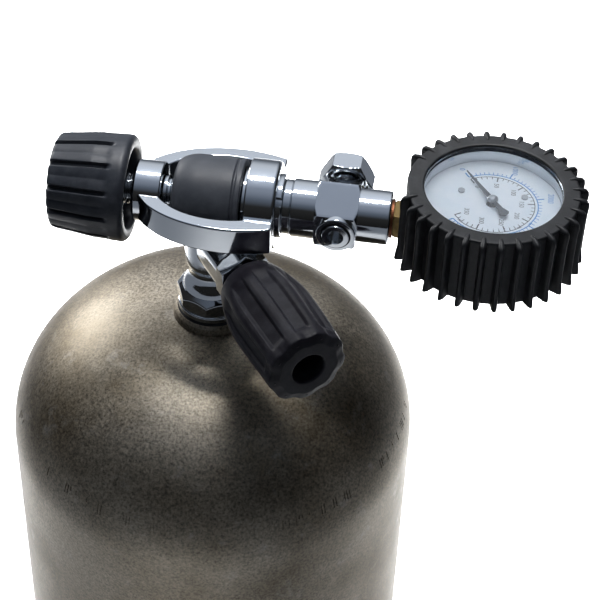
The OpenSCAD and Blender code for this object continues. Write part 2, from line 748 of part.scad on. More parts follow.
// Flat spiral strip around the needle's shaft
module hairspring() color("#9aa3b0") on_gauge(4.9) linear_extrude(0.5) {
    steps = 72;
    turns = 3;
    strip = 0.25;
    inner = [for (i = [0 : steps]) polar(2.4 + 3.6 * i / steps, 360 * turns * i / steps)];
    outer = [for (i = [steps : -1 : 0]) polar(2.4 + strip + 3.6 * i / steps, 360 * turns * i / steps)];
    polygon(concat(inner, outer));
}

module gauge_case() color("#c3c9cf") difference() {
    on_gauge(0) rotate_extrude($fn = 96) polygon([
        [0, case_floor], [case_r, case_floor], [case_r, lens_top], [lens_r + fit, lens_top],
        [lens_r + fit, gasket_z], [dial_wall_r, gasket_z], [dial_wall_r, dial_z], [case_wall_r, dial_z],
        [case_wall_r, case_inside], [0, case_inside]]);
    translate([gauge_s - case_r - over, -5.6, axis_z - 5.6]) cube([6, 11.2, 11.2]);
    translate([gauge_s - 29.6, -6.05, axis_z + case_inside]) cube([4, 12.1, 12.1]);
    on_gauge(case_floor - over) cylinder(r = 3 + fit, h = 6);
    for (side = [-1, 1]) on_gauge(case_floor - over) translate([shank_screw_x, side * shank_screw_y, 0]) {
        cylinder(r = 1.2 + fit, h = 5);
        cylinder(r = 2.2 + fit, h = over + 1);
    }
}

module case_screws() color(steel) for (side = [-1, 1])
    translate([shank_screw_x, side * shank_screw_y, 0]) {
        on_gauge(case_floor) cylinder(r = 2.2, h = 1);
        on_gauge(case_floor + 1) cylinder(r = 1.2, h = 2.6);
    }

module blowout_plug() color("#3a3a3e") {
    on_gauge(case_floor) cylinder(r = 3, h = case_inside - case_floor);
    on_gauge(case_inside) cylinder(r = 4.4, h = 1);
}

module dial() color("#eef2f6") difference() {
    union() {
        on_gauge(dial_z) cylinder(r = dial_wall_r - fit, h = 0.8);
        on_gauge(dial_z + 0.8) translate(polar(14, zero_at + 9)) cylinder(r = 0.5, h = 2.2);
    }
    on_gauge(dial_z - over) cylinder(r = 2.5, h = 3);
    for (side = [-1, 1]) on_gauge(dial_z - over) translate([side * pillar_x, pillar_y, 0])
        cylinder(r = 0.7 + fit, h = 3);
}

module dial_screws() color(steel) for (side = [-1, 1]) translate([side * pillar_x, pillar_y, 0]) {
    on_gauge(dial_z - 2.8) cylinder(r = 0.7, h = 3.6);
    on_gauge(dial_z + 0.8) cylinder(r = 1.4, h = 0.7);
}

module needle() color("#151618") on_gauge(needle_z) rotate(zero_at) linear_extrude(0.5) difference() {
    tail = [[-11, 0], [-10.5, -1.2], [-9, -1.9], [-6, -1.2], [-3.5, -0.8], [0, -1.5]];
    union() {
        polygon(concat(tail, [[2, -1.1], [21, -0.15], [21, 0.15], [2, 1.1]],
            [for (i = [5 : -1 : 1]) [tail[i][0], -tail[i][1]]]));
        circle(2.4);
    }
    circle(arbor_r + fit);
}

module needle_cap() color("#c8ccd0") on_gauge(needle_z + 0.5) difference() {
    rotate_extrude() polygon([[0, 0], [2, 0], [1.7, 0.9], [0, 1.5]]);
    translate([0, 0, -over]) cylinder(r = arbor_r + fit, h = over + 0.6);
}

module lens() color("#dfeaf2", 0.4) on_gauge(lens_z) cylinder(r = lens_r, h = lens_top - lens_z);

module lens_gasket() color("#2b2c30") on_gauge(gasket_z) tube(lens_r, dial_wall_r, lens_z - gasket_z);

module lens_ring() color("#c3c9cf") on_gauge(lens_top) tube(case_r, dial_wall_r, bezel_top - lens_top);

// Rib along the boot's wall, tapered towards its outer edge
module boot_rib() intersection() {
    rotate([90, 0, 0]) translate([0, 0, -rib_base]) linear_extrude(2 * rib_base) polygon([
        [boot_r - 2, boot_floor], [boot_r + 4.7, boot_floor], [boot_r + 3.6, boot_floor + 6],
        [boot_r + 3.6, boot_top - 6], [boot_r + 3.9, boot_top - 2.2], [boot_r + 2.6, boot_top],
        [boot_r - 0.6, boot_top + 0.8], [boot_r - 3.4, boot_top + 0.4], [boot_r - 3.4, boot_top - 0.3]]);
    translate([0, 0, boot_floor - over]) linear_extrude(boot_top - boot_floor + 3 * over) polygon([
        [boot_r - 4, -rib_edge / 2], [boot_r, -rib_base / 2], [boot_r + 5, -rib_edge / 2],
        [boot_r + 5, rib_edge / 2], [boot_r, rib_base / 2], [boot_r - 4, rib_edge / 2]]);
}

module gauge_boot() color(rubber) difference() {
    bare = 17;              // no ribs this close to the shank, in degrees
    union() {
        on_gauge(0) rotate_extrude($fn = 96) polygon([
            [12, boot_floor], [boot_r - 0.8, boot_floor], [boot_r, boot_floor + 0.8],
            [boot_r, boot_top - 0.8], [boot_r - 0.8, boot_top], [28.6, boot_top],
            [28.2, bezel_top + fit], [case_r + fit, bezel_top + fit],
            [case_r + fit, case_floor - fit], [12, case_floor - fit]]);
        for (i = [0 : boot_ribs - 1]) {
            turn = 360 * (i + 0.75) / boot_ribs;
            if (abs(turn - 180) > bare) on_gauge(0) rotate([0, 0, turn]) boot_rib();
        }
    }
    translate([gauge_s - 40, -6, axis_z - 6]) cube([10, 12, 12]);
}

tank_shell();
neck_oring();
valve_body();
dip_tube();
outlet_oring();
outlet_sleeve();
bonnet_nut();
valve_stem();
stem_oring();
stem_washer();
poppet();
poppet_seat();
valve_knob();
knob_hub();
knob_spring();
knob_nut();
burst_plug();
burst_disc();
burst_gasket();
yoke_frame();
yoke_retainer();
retainer_ring();
yoke_screw();
yoke_knob();
knob_pin();
screw_tip();
gauge_block();
block_oring();
port_plug();
port_oring();
bleed_screw();
bleed_seat();
bleed_oring();
gauge_socket();
shank_seal();
bourdon_tube();
tube_tip();
link();
movement_base();
movement_top();
movement_screws();
sector_gear();
pinion();
hairspring();
gauge_case();
case_screws();
blowout_plug();
dial();
dial_screws();
needle();
needle_cap();
lens();
lens_gasket();
lens_ring();
gauge_boot();
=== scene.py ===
"""Looks of a scuba tank with its valve and a yoke-mounted pressure checker.

Each operator makes one piece, or one group of like pieces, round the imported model.
Outlines are in millimetres about a piece's own axis, and placements turn them to metres.
"""
import json
import math
import random

import bmesh
import bpy
from bpy.props import FloatProperty, FloatVectorProperty, IntProperty, PointerProperty
from mathutils import Matrix, Vector


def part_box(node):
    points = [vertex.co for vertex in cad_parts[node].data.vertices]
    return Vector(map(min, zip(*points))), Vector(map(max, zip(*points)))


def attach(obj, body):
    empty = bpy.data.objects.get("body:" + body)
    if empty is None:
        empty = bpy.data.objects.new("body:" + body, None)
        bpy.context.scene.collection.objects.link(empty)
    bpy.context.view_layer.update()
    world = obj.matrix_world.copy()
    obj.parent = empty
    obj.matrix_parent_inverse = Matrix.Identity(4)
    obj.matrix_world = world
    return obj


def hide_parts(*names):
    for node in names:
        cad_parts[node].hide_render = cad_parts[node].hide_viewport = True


bl_info = {
    "name": "Scuba Tank",
    "version": (1, 0, 0),
    "blender": (4, 5, 0),
    "location": "3D View > Sidebar > Scuba Tank",
    "description": "Builds the pieces and finishes of a scuba tank with a pressure checker",
    "category": "Object",
}

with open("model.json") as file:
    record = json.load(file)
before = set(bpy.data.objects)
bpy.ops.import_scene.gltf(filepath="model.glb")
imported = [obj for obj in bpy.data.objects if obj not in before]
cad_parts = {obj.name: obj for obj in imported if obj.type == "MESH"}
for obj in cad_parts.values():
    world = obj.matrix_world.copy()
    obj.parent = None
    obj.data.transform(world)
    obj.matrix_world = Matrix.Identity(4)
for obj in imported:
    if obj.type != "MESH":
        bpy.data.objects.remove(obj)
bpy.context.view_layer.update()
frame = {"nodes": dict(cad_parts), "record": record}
JOINTS = {joint["name"]: joint for joint in frame["record"]["behaviour"]["joints"]}

MM = 0.001
UP = Vector((0, 0, 1))
FULL = 2 * math.pi
SHARP = 1e-6  # edge radius of a cut with square corners


# ---------- places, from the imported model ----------


def placement(origin, along, up=UP):
    """Matrix whose local Z runs along one direction and whose local X is the given up."""
    z = Vector(along).normalized()
    x = (up - z * up.dot(z)).normalized()
    y = z.cross(x)
    turn = Matrix((x, y, z)).transposed().to_4x4()
    return Matrix.Translation(origin) @ turn


AXIS_Z = JOINTS["clamp_knob_turn"]["pos_m"][2]
NECK_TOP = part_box("tank_shell")[1][2] / MM
TANK_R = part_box("tank_shell")[1][0] / MM
GAUGE_X = JOINTS["needle_turn"]["pos_m"][0]
PORT_X = JOINTS["bleed_screw_turn"]["pos_m"][0]

YOKE = placement((0, 0, AXIS_Z), (1, 0, 0))
ARM = placement(JOINTS["valve_knob_turn"]["pos_m"], JOINTS["valve_knob_turn"]["axis"])
PORT = placement((PORT_X, 0, AXIS_Z), (0, 1, 0))
GAUGE = placement((GAUGE_X, 0, AXIS_Z), UP, Vector((1, 0, 0)))
TANK = placement((0, 0, 0), UP, Vector((1, 0, 0)))


# ---------- sizes and colours that a user would change ----------


def linear(code):
    """An sRGB hex colour as linear red, green, blue and alpha."""
    values = [int(code[i : i + 2], 16) / 255 for i in (0, 2, 4)]
    return [v / 12.92 if v <= 0.04045 else ((v + 0.055) / 1.055) ** 2.4 for v in values] + [1.0]


def length(name, text, default_mm):
    return FloatProperty(name=name, description=text, default=default_mm * MM, min=0,
                         subtype="DISTANCE", unit="LENGTH")


def colour(name, text, code):
    return FloatVectorProperty(name=name, description=text, default=linear(code), size=4,
                               min=0, max=1, subtype="COLOR")


class ScubaTankSizes(bpy.types.PropertyGroup):
    crown_height: length("Crown height", "Height of the dome above the straight wall", 68.7)
    crown_fullness: FloatProperty(name="Crown fullness", default=2.1,
                                  description="Exponent of the dome, 2 is an ellipse")
    neck_lip: length("Neck lip", "Neck rim above the top of the dome's curve", 3.3)
    base_round: length("Base round", "Radius of the edge of the base", 18)
    wall: length("Wall", "Thickness of the side wall", 12)


class ScubaValveSizes(bpy.types.PropertyGroup):
    knob_radius: length("Knob radius", "Largest radius of the rubber knob", 18)
    knob_length: length("Knob length", "Length of the rubber knob", 55)
    knob_ridges: IntProperty(name="Knob ridges", description="Number of ridges round the knob", default=9)


class ScubaYokeSizes(bpy.types.PropertyGroup):
    thickness: length("Arm thickness", "Height of the yoke's flat arms", 13)
    half_width: length("Half width", "Half width across the arms", 27.3)
    window_half_width: length("Window half width", "Half width of the opening", 21)
    edge: length("Edge", "Radius of the arms' edges", 0.9)
    clamp_lobes: IntProperty(name="Clamp lobes", description="Number of lobes round the clamping knob",
                             default=12)
    screw_pitch: length("Screw pitch", "Pitch of the clamping screw", 1.75)


class ScubaGaugeSizes(bpy.types.PropertyGroup):
    boot_ribs: IntProperty(name="Boot ribs", description="Number of rib places round the boot", default=32)
    rib_width: length("Rib width", "Width of one rib at its root", 3.4)
    sweep: FloatProperty(name="Dial sweep", description="Angle of the full scale",
                         default=math.radians(270), subtype="ANGLE")
    zero: FloatProperty(name="Dial zero", description="Direction of zero from +X",
                        default=math.radians(124), subtype="ANGLE")


class ScubaFinishes(bpy.types.PropertyGroup):
    tank: colour("Tank", "Bare blasted aluminium", "968E80")
    tank_dark: colour("Tank stain", "Oxide and handling stains on the aluminium", "6E6453")
    chrome: colour("Chrome", "Bright chrome plate", "C6CACE")
    knob: colour("Valve knob", "Moulded rubber of the valve knob", "131117")
    clamp: colour("Clamping knob", "Moulded nylon of the clamping knob", "26292F")
    sleeve: colour("Sleeve", "Moulded rubber of the outlet sleeve", "32353B")
    boot: colour("Boot", "Moulded rubber of the gauge boot", "0C0D0F")
    brass: colour("Brass", "Dull brass of the shank", "7A6743")
    dial: colour("Dial", "White enamel of the dial", "EEF3F8")
    ink: colour("Scale ink", "Dark print of the inner scale and needle", "15171B")
    blue_ink: colour("Blue ink", "Blue print of the outer scale", "2F86C8")


# ---------- outlines ----------


def rounded(corners, steps=5):
    """An outline of (x, y, fillet) corners, each fillet drawn as an arc."""
    points = []
    for i, corner in enumerate(corners):
        here = Vector(corner[:2])
        fillet = corner[2] if len(corner) > 2 else 0
        if fillet <= 0:
            points.append(tuple(here))
            continue
        before = (Vector(corners[i - 1][:2]) - here).normalized()
        after = (Vector(corners[(i + 1) % len(corners)][:2]) - here).normalized()
        half = before.angle(after) / 2
        reach = fillet / math.tan(half)
        centre = here + (before + after).normalized() * (fillet / math.sin(half))
        start = here + before * reach - centre
        sweep = start.angle_signed(here + after * reach - centre)
        for k in range(steps + 1):
            points.append(tuple(centre + Matrix.Rotation(-sweep * k / steps, 2) @ start))
    return points


def finer(path, step):
    """The same open outline with no segment longer than step."""
    points = [path[0]]
    for a, b in zip(path, path[1:]):
        count = max(1, math.ceil(math.dist(a, b) / step))
        points += [tuple(Vector(a).lerp(Vector(b), k / count)) for k in range(1, count + 1)]
    return points


def soft_min(a, b, blend):
    """The smaller of two values, with the crossing rounded off."""
    overlap = max(blend - abs(a - b), 0) / blend
    return min(a, b) - overlap * overlap * blend / 4


def smooth_step(low, high, value):
    t = min(max((value - low) / (high - low), 0), 1)
    return t * t * (3 - 2 * t)


def flats(across, sides, edge=0.4, turn=0.0):
    """Shape for lathe: cuts flats on a turned outline, as on a nut, with slightly rounded corners."""
    part = FULL / sides

    def shape(_k, r, z, angle):
        a = (angle - turn + part / 2) % part - part / 2
        return soft_min(r, across / 2 / math.cos(a), edge), z

    return shape


def only(shape, low, high):
    """The same shape between two heights, and a plain turned outline elsewhere."""
    return lambda k, r, z, angle: shape(k, r, z, angle) if low <= z <= high else (r, z)


# ---------- meshes ----------


def shell(bm):
    """A linked object from a bmesh, with its faces turned outwards."""
    bmesh.ops.remove_doubles(bm, verts=bm.verts, dist=1e-7)
    bmesh.ops.recalc_face_normals(bm, faces=bm.faces)
    mesh = bpy.data.meshes.new("piece")
    bm.to_mesh(mesh)
    bm.free()
    made = bpy.data.objects.new("piece", mesh)
    bpy.context.scene.collection.objects.link(made)
    return made


def skin(bm, rings, closed):
    """Faces between rings of vertices, where a ring of one vertex is a pole."""
    pairs = list(zip(rings, rings[1:]))
    if closed:
        pairs.append((rings[-1], rings[0]))
    for a, b in pairs:
        count = max(len(a), len(b))
        for i in range(count):
            j = (i + 1) % count
            corners = [a[i % len(a)], a[j % len(a)], b[j % len(b)], b[i % len(b)]]
            face = list(dict.fromkeys(corners))
            if len(face) > 2:
                bm.faces.new(face)


def lathe(path, place, steps=128, shape=None):
    """Turns an outline of (radius, height) about local Z.

    An outline that ends off the axis is a closed ring.
    """
    bm = bmesh.new()
    rings = []
    for k, (r, z) in enumerate(path):
        if r < 1e-6:
            rings.append([bm.verts.new(place @ Vector((0, 0, z * MM)))])
            continue
        ring = []
        for i in range(steps):
            angle = FULL * i / steps
            radius, height = shape(k, r, z, angle) if shape else (r, z)
            spot = Vector((radius * math.cos(angle), radius * math.sin(angle), height)) * MM
            ring.append(bm.verts.new(place @ spot))
        rings.append(ring)
    skin(bm, rings, closed=path[0][0] > 1e-6 and path[-1][0] > 1e-6)
    return shell(bm)


def sweep(sections, place, closed=True):
    """Joins a row of closed sections, each a list of points in millimetres, into a ring or a capped bar."""
    bm = bmesh.new()
    rings = [[bm.verts.new(place @ (Vector(p) * MM)) for p in section] for section in sections]
    skin(bm, rings, closed)
    if not closed:
        bm.faces.new(rings[0])
        bm.faces.new(rings[-1])
    return shell(bm)


def rod(place, r, low, high, steps=96):
    """A plain round bar between two heights, as a cutter or a filler."""
    return lathe([(0, low), (r, low), (r, high), (0, high)], place, steps)


def plate(outline, low, high, place):
    """A flat plate with the outline's shape between two heights, all in millimetres."""
    return sweep([[(x, y, low) for x, y in outline], [(x, y, high) for x, y in outline]], place,
                 closed=False)


def applied(made):
    """Replaces an object's mesh by its evaluated one and drops the modifiers."""
    bpy.context.view_layer.update()
    graph = bpy.context.evaluated_depsgraph_get()
    mesh = bpy.data.meshes.new_from_object(made.evaluated_get(graph), depsgraph=graph)
    made.modifiers.clear()
    made.data = mesh
    return made


def carve(made, tools, operation="DIFFERENCE"):
    """Cuts the tools out of an object, or joins them to it, and removes the tools."""
    for tool in tools:
        cut = made.modifiers.new("carve", "BOOLEAN")
        cut.solver = "MANIFOLD"
        cut.operation = operation
        cut.object = tool
        applied(made)
        bpy.data.objects.remove(tool)
    return made


def merge(parts):
    """One object from several, with nothing cut."""
    bm = bmesh.new()
    for part in parts:
        bm.from_mesh(part.data)
        bpy.data.objects.remove(part)
    return shell(bm)


def finish_piece(made, name, material, body="root", nodes=(), sharp=38):
    """Names a piece, gives it its material and shading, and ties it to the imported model."""
    made.name = name
    made.data.name = name
    made.data.materials.clear()
    made.data.materials.append(material)
    made.data.shade_smooth()
    made.data.set_sharp_from_angle(angle=math.radians(sharp))
    weighted = made.modifiers.new("even shading", "WEIGHTED_NORMAL")
    weighted.keep_sharp = True
    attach(made, body)
    if nodes:
        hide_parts(*nodes)
    return made


# ---------- materials ----------


def add(tree, kind, inputs=None, out=0, stops=(), **settings):
    """Adds a node with its settings, inputs and colour stops, and gives one of its outputs."""
    node = tree.nodes.new(kind)
    for key, value in settings.items():
        setattr(node, key, value)
    for key, value in (inputs or {}).items():
        if isinstance(value, bpy.types.NodeSocket):
            tree.links.new(value, node.inputs[key])
        else:
            node.inputs[key].default_value = value
    if stops:
        line = node.color_ramp.elements
        while len(line) < len(stops):
            line.new(0.5)
        for element, (where, value) in zip(line, stops):
            element.position = where
            element.color = value
    return node.outputs[out]


def per_metre(size_mm):
    """Texture scale whose pattern repeats about every size_mm."""
    return 1000 / size_mm


def grey(value):
    return (value, value, value, 1)


def new_material(name, principled):
    """A material with its Principled shader and the piece's own coordinates."""
    found = bpy.data.materials.get(name)
    if found:
        return found, None, None, None
    made = bpy.data.materials.new(name)
    made.use_nodes = True
    tree = made.node_tree
    shader = tree.nodes["Principled BSDF"]
    for key, value in principled.items():
        shader.inputs[key].default_value = value
    place = add(tree, "ShaderNodeTexCoord", out="Object")
    return made, tree, shader, place


def patchy(name, principled, patches, relief, tint=None, gloss=None):
    """A material whose colour and roughness change in patches, over a fine relief.

    Patches are (size in mm, detail, roughness) of the pattern. Relief is (size in mm, strength, depth in mm).
    Tint is two colours with the share of the second, and gloss two roughnesses. Each ends with the stretch of
    the pattern over which it changes.
    """
    made, tree, shader, place = new_material(name, principled)
    if tree is None:
        return made
    size, detail, rough = patches
    pattern = add(tree, "ShaderNodeTexNoise", {"Vector": place, "Scale": per_metre(size), "Detail": detail,
                                               "Roughness": rough})
    if tint:
        clean, worn, share, start, end = tint
        factor = add(tree, "ShaderNodeMapRange", {"Value": pattern, "From Min": start, "From Max": end,
                                                  "To Min": 0, "To Max": share})
        shade = add(tree, "ShaderNodeMix", {"Factor": factor, "A": tuple(clean), "B": tuple(linear(worn))},
                    "Result", data_type="RGBA")
        tree.links.new(shade, shader.inputs["Base Color"])
    if gloss:
        low, high, start, end = gloss
        roughness = add(tree, "ShaderNodeMapRange", {"Value": pattern, "From Min": start, "From Max": end,
                                                     "To Min": low, "To Max": high})
        tree.links.new(roughness, shader.inputs["Roughness"])
    fine, strength, depth = relief
    grain = add(tree, "ShaderNodeTexNoise", {"Vector": place, "Scale": per_metre(fine), "Detail": 2,
                                             "Roughness": 0.5})
    normal = add(tree, "ShaderNodeBump", {"Height": grain, "Strength": strength, "Distance": depth * MM})
    tree.links.new(normal, shader.inputs["Normal"])
    return made


def blasted_aluminium(finishes):
    """Bare 6061 aluminium, blasted, then handled and salted for years.

    The grit gives a fine sparkle, oxide gives warm brown-grey clouds, and rubbing leaves paler scuffs.
    """
    made, tree, shader, place = new_material("blasted_aluminium", {"Metallic": 1.0, "Roughness": 0.46})
    if tree is None:
        return made
    # Real grit is near 0.1 mm: its sparkle is drawn at 1.2 mm and its relief at 0.8 mm, so that they show.
    clouds, grit, scuffs, relief = [
        add(tree, "ShaderNodeTexNoise", {"Vector": place, "Scale": per_metre(size), "Detail": detail,
                                         "Roughness": rough})
        for size, detail, rough in ((60, 6, 0.62), (1.2, 4, 0.75), (14, 5, 0.75), (0.8, 3, 0.6))]
    stain = add(tree, "ShaderNodeValToRGB", {"Fac": clouds},
                stops=[(0.34, tuple(finishes.tank_dark)), (0.62, tuple(finishes.tank))])
    sparkle = add(tree, "ShaderNodeValToRGB", {"Fac": grit}, stops=[(0.34, grey(0.42)), (0.66, grey(1.35))])
    speckled = add(tree, "ShaderNodeMix", {"Factor": 1.0, "A": stain, "B": sparkle}, "Result",
                   data_type="RGBA", blend_type="MULTIPLY")
    rubbed = add(tree, "ShaderNodeMapRange", {"Value": scuffs, "From Min": 0.58, "From Max": 0.75,
                                              "To Min": 0, "To Max": 0.45})
    shade = add(tree, "ShaderNodeMix", {"Factor": rubbed, "A": speckled, "B": tuple(linear("B9B5AE"))},
                "Result", data_type="RGBA")
    roughness = add(tree, "ShaderNodeMapRange", {"Value": grit, "From Min": 0.3, "From Max": 0.7,
                                                 "To Min": 0.36, "To Max": 0.56})
    normal = add(tree, "ShaderNodeBump", {"Height": relief, "Strength": 0.5, "Distance": 0.1 * MM})
    for value, socket in ((shade, "Base Color"), (roughness, "Roughness"), (normal, "Normal")):
        tree.links.new(value, shader.inputs[socket])
    return made


def chrome_plate(finishes):
    """Polished brass under bright chrome, handled.

    It mirrors the room nearly black and white, softened a little by fine wipe marks and finger film.
    """
    principled = {"Base Color": tuple(finishes.chrome), "Metallic": 1.0, "Roughness": 0.06}
    return patchy("chrome_plated_brass", principled, (9, 5, 0.65), (6, 0.05, 0.1),
                  gloss=(0.03, 0.16, 0.35, 0.75))


def moulded(name, code, roughness, grain_mm, depth_mm, worn, level=0.32):
    """Black moulded rubber or nylon.

    The mould leaves a fine spark texture, and handling leaves paler rubbed patches.
    """
    principled = {"Roughness": roughness, "IOR": 1.52, "Specular IOR Level": level}
    return patchy(name, principled, (11, 5, 0.7), (grain_mm, 0.35, depth_mm),
                  (code, "6F7178", worn, 0.45, 0.8), (roughness - 0.06, roughness + 0.12, 0.3, 0.7))


def machined(name, code, roughness, line_mm, stain, stain_code):
    """Turned or milled metal: faint tool lines, with tarnish where it isn't rubbed."""
    return patchy(name, {"Metallic": 1.0, "Roughness": roughness}, (5, 5, 0.7), (line_mm, 0.2, 0.04),
                  (code, stain_code, stain, 0.4, 0.75), (roughness - 0.05, roughness + 0.15, 0.3, 0.7))


def printed(name, code, roughness):
    """Enamel or ink: even colour with a faint orange peel."""
    return patchy(name, {"Roughness": roughness}, (12, 3, 0.5), (0.7, 0.05, 0.03),
                  (code, "B9CFE4", 0.12, 0, 1))


def clear_polycarbonate():
    """Moulded clear polycarbonate: it bends and passes light, and mirrors the sky at a low angle.

    Wipe marks leave a faint haze, so lamps show as soft patches.
    """
    made, tree, shader, place = new_material("clear_polycarbonate",
                                             {"Transmission Weight": 1.0, "IOR": 1.58})
    if tree is None:
        return made
    haze = add(tree, "ShaderNodeTexNoise", {"Vector": place, "Scale": per_metre(7), "Detail": 4,
                                            "Roughness": 0.7})
    roughness = add(tree, "ShaderNodeMapRange", {"Value": haze, "From Min": 0.4, "From Max": 0.75,
                                                 "To Min": 0, "To Max": 0.03})
    tone = add(tree, "ShaderNodeValToRGB", {"Fac": haze},
               stops=[(0.3, linear("FFFFFF")), (0.7, linear("F4F9FC"))])
    tree.links.new(roughness, shader.inputs["Roughness"])
    tree.links.new(tone, shader.inputs["Base Color"])
    return made


def milled_brass(finishes):
    return machined("milled_brass", finishes.brass, 0.36, 0.6, 0.8, "4E432C")


def steel():
    return machined("turned_stainless_steel", linear("A9ABAE"), 0.28, 0.5, 0.4, "7C7A76")


def seal_rubber():
    return moulded("nitrile_seal", linear("141416"), 0.55, 0.6, 0.02, 0.15)


# ---------- pieces ----------


def chromed(made, name, node, finishes, body="root", sharp=30):
    """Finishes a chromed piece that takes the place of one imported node."""
    return finish_piece(made, name, chrome_plate(finishes), body, [node], sharp)


class SCUBA_OT_stage(bpy.types.Operator):
    """Floor, soft lights, sky and camera"""

    bl_idname = "scuba.stage"
    bl_label = "Stage"

    def execute(self, context):
        scene = context.scene
        scene.view_settings.view_transform = "Standard"
        self.floor()
        self.sky(scene)
        self.lamps()
        self.camera(scene)
        return {"FINISHED"}

    def floor(self):
        bm = bmesh.new()
        bmesh.ops.create_grid(bm, x_segments=8, y_segments=8, size=6)
        floor = shell(bm)
        floor.name = "floor"
        made, tree, shader, place = new_material("matt_white_paper", {"Roughness": 0.9})
        fibre = add(tree, "ShaderNodeTexNoise", {"Vector": place, "Scale": per_metre(3), "Detail": 3,
                                                 "Roughness": 0.5})
        tone = add(tree, "ShaderNodeValToRGB", {"Fac": fibre},
                   stops=[(0.3, linear("CDCDCC")), (0.7, linear("D2D2D2"))])
        tree.links.new(tone, shader.inputs["Base Color"])
        floor.data.materials.append(made)

    def sky(self, scene):
        """A dome that is bright behind and overhead, and dark at the horizon, for the chrome's contrast."""
        world = bpy.data.worlds.new("soft dome")
        scene.world = world
        world.use_nodes = True
        tree = world.node_tree
        way = add(tree, "ShaderNodeTexCoord", out="Generated")
        height = add(tree, "ShaderNodeSeparateXYZ", {"Vector": way}, "Z")
        overhead = add(tree, "ShaderNodeValToRGB", {"Fac": height},
                       stops=[(0.0, grey(0.015)), (0.5, grey(0.03)), (0.75, (0.14, 0.165, 0.21, 1)),
                              (0.95, (0.32, 0.36, 0.44, 1))])
        bright_side = Vector((-0.25, 0.66, 0.7)).normalized()
        share = add(tree, "ShaderNodeVectorMath", {0: way, 1: bright_side}, "Value",
                    operation="DOT_PRODUCT")
        behind = add(tree, "ShaderNodeValToRGB", {"Fac": share},
                     stops=[(0.55, grey(0)), (0.78, (0.3, 0.33, 0.38, 1)), (0.94, (0.75, 0.79, 0.86, 1))])
        both = add(tree, "ShaderNodeMix", {"Factor": 1.0, "A": overhead, "B": behind}, "Result",
                   data_type="RGBA", blend_type="ADD")
        tree.links.new(both, tree.nodes["Background"].inputs["Color"])

    def lamps(self):
        """A low soft key from behind on the left, and two lamps that light only the floor."""
        for name, spot, aim, size, power, cone in (
            ("key", (-1.3, 1.1, 1.2), (0, 0, AXIS_Z), 0.7, 4.2, 90),
            ("backdrop", (-0.06, 0.8, 2.5), (-0.06, 0.8, 0), 0.9, 38, 42),
            ("front floor", (-0.1, -0.75, 0.6), (-0.1, -0.6, 0), 0.5, 1.3, 80),
        ):
            lamp = bpy.data.lights.new(name, "AREA")
            lamp.shape = "DISK"
            lamp.size = size
            lamp.energy = power
            lamp.spread = math.radians(cone)
            holder = bpy.data.objects.new(name, lamp)
            holder.location = spot
            holder.rotation_mode = "QUATERNION"
            holder.rotation_quaternion = (Vector(aim) - Vector(spot)).to_track_quat("-Z", "Y")
            bpy.context.scene.collection.objects.link(holder)

    def camera(self, scene):
        """A long lens that looks down on the shoulder, a little from the gauge's side and slightly rolled."""
        azimuth = math.radians(6.88)
        elevation = math.radians(42.41)
        roll = math.radians(2.19)
        distance = 833.25
        aside, above = 40.46, 54.17
        forward = Vector((-math.sin(azimuth) * math.cos(elevation),
                          math.cos(azimuth) * math.cos(elevation), -math.sin(elevation)))
        level = Vector((math.cos(azimuth), math.sin(azimuth), 0))
        upright = level.cross(forward)
        right = level * math.cos(roll) + upright * math.sin(roll)
        upward = upright * math.cos(roll) - level * math.sin(roll)
        sizes = scene.scuba_tank
        shoulder = Vector((0, 0, NECK_TOP - (sizes.crown_height + sizes.neck_lip) / MM))
        spot = shoulder - forward * distance + right * aside + upward * above
        lens = bpy.data.cameras.new("camera")
        lens.lens = 106.6
        lens.sensor_width = 36
        holder = bpy.data.objects.new("camera", lens)
        turn = Matrix((right, upward, -forward)).transposed().to_4x4()
        holder.matrix_world = Matrix.Translation(spot * MM) @ turn
        scene.collection.objects.link(holder)
        scene.camera = holder


def dome_points(radius, height, base, end_radius, fullness, steps):
    """A superellipse from the straight wall up to end_radius."""
    end = math.acos((end_radius / radius) ** (fullness / 2))
    power = 2 / fullness
    turns = [end * k / steps for k in range(steps + 1)]
    return [(radius * math.cos(t) ** power, base + height * math.sin(t) ** power) for t in turns]


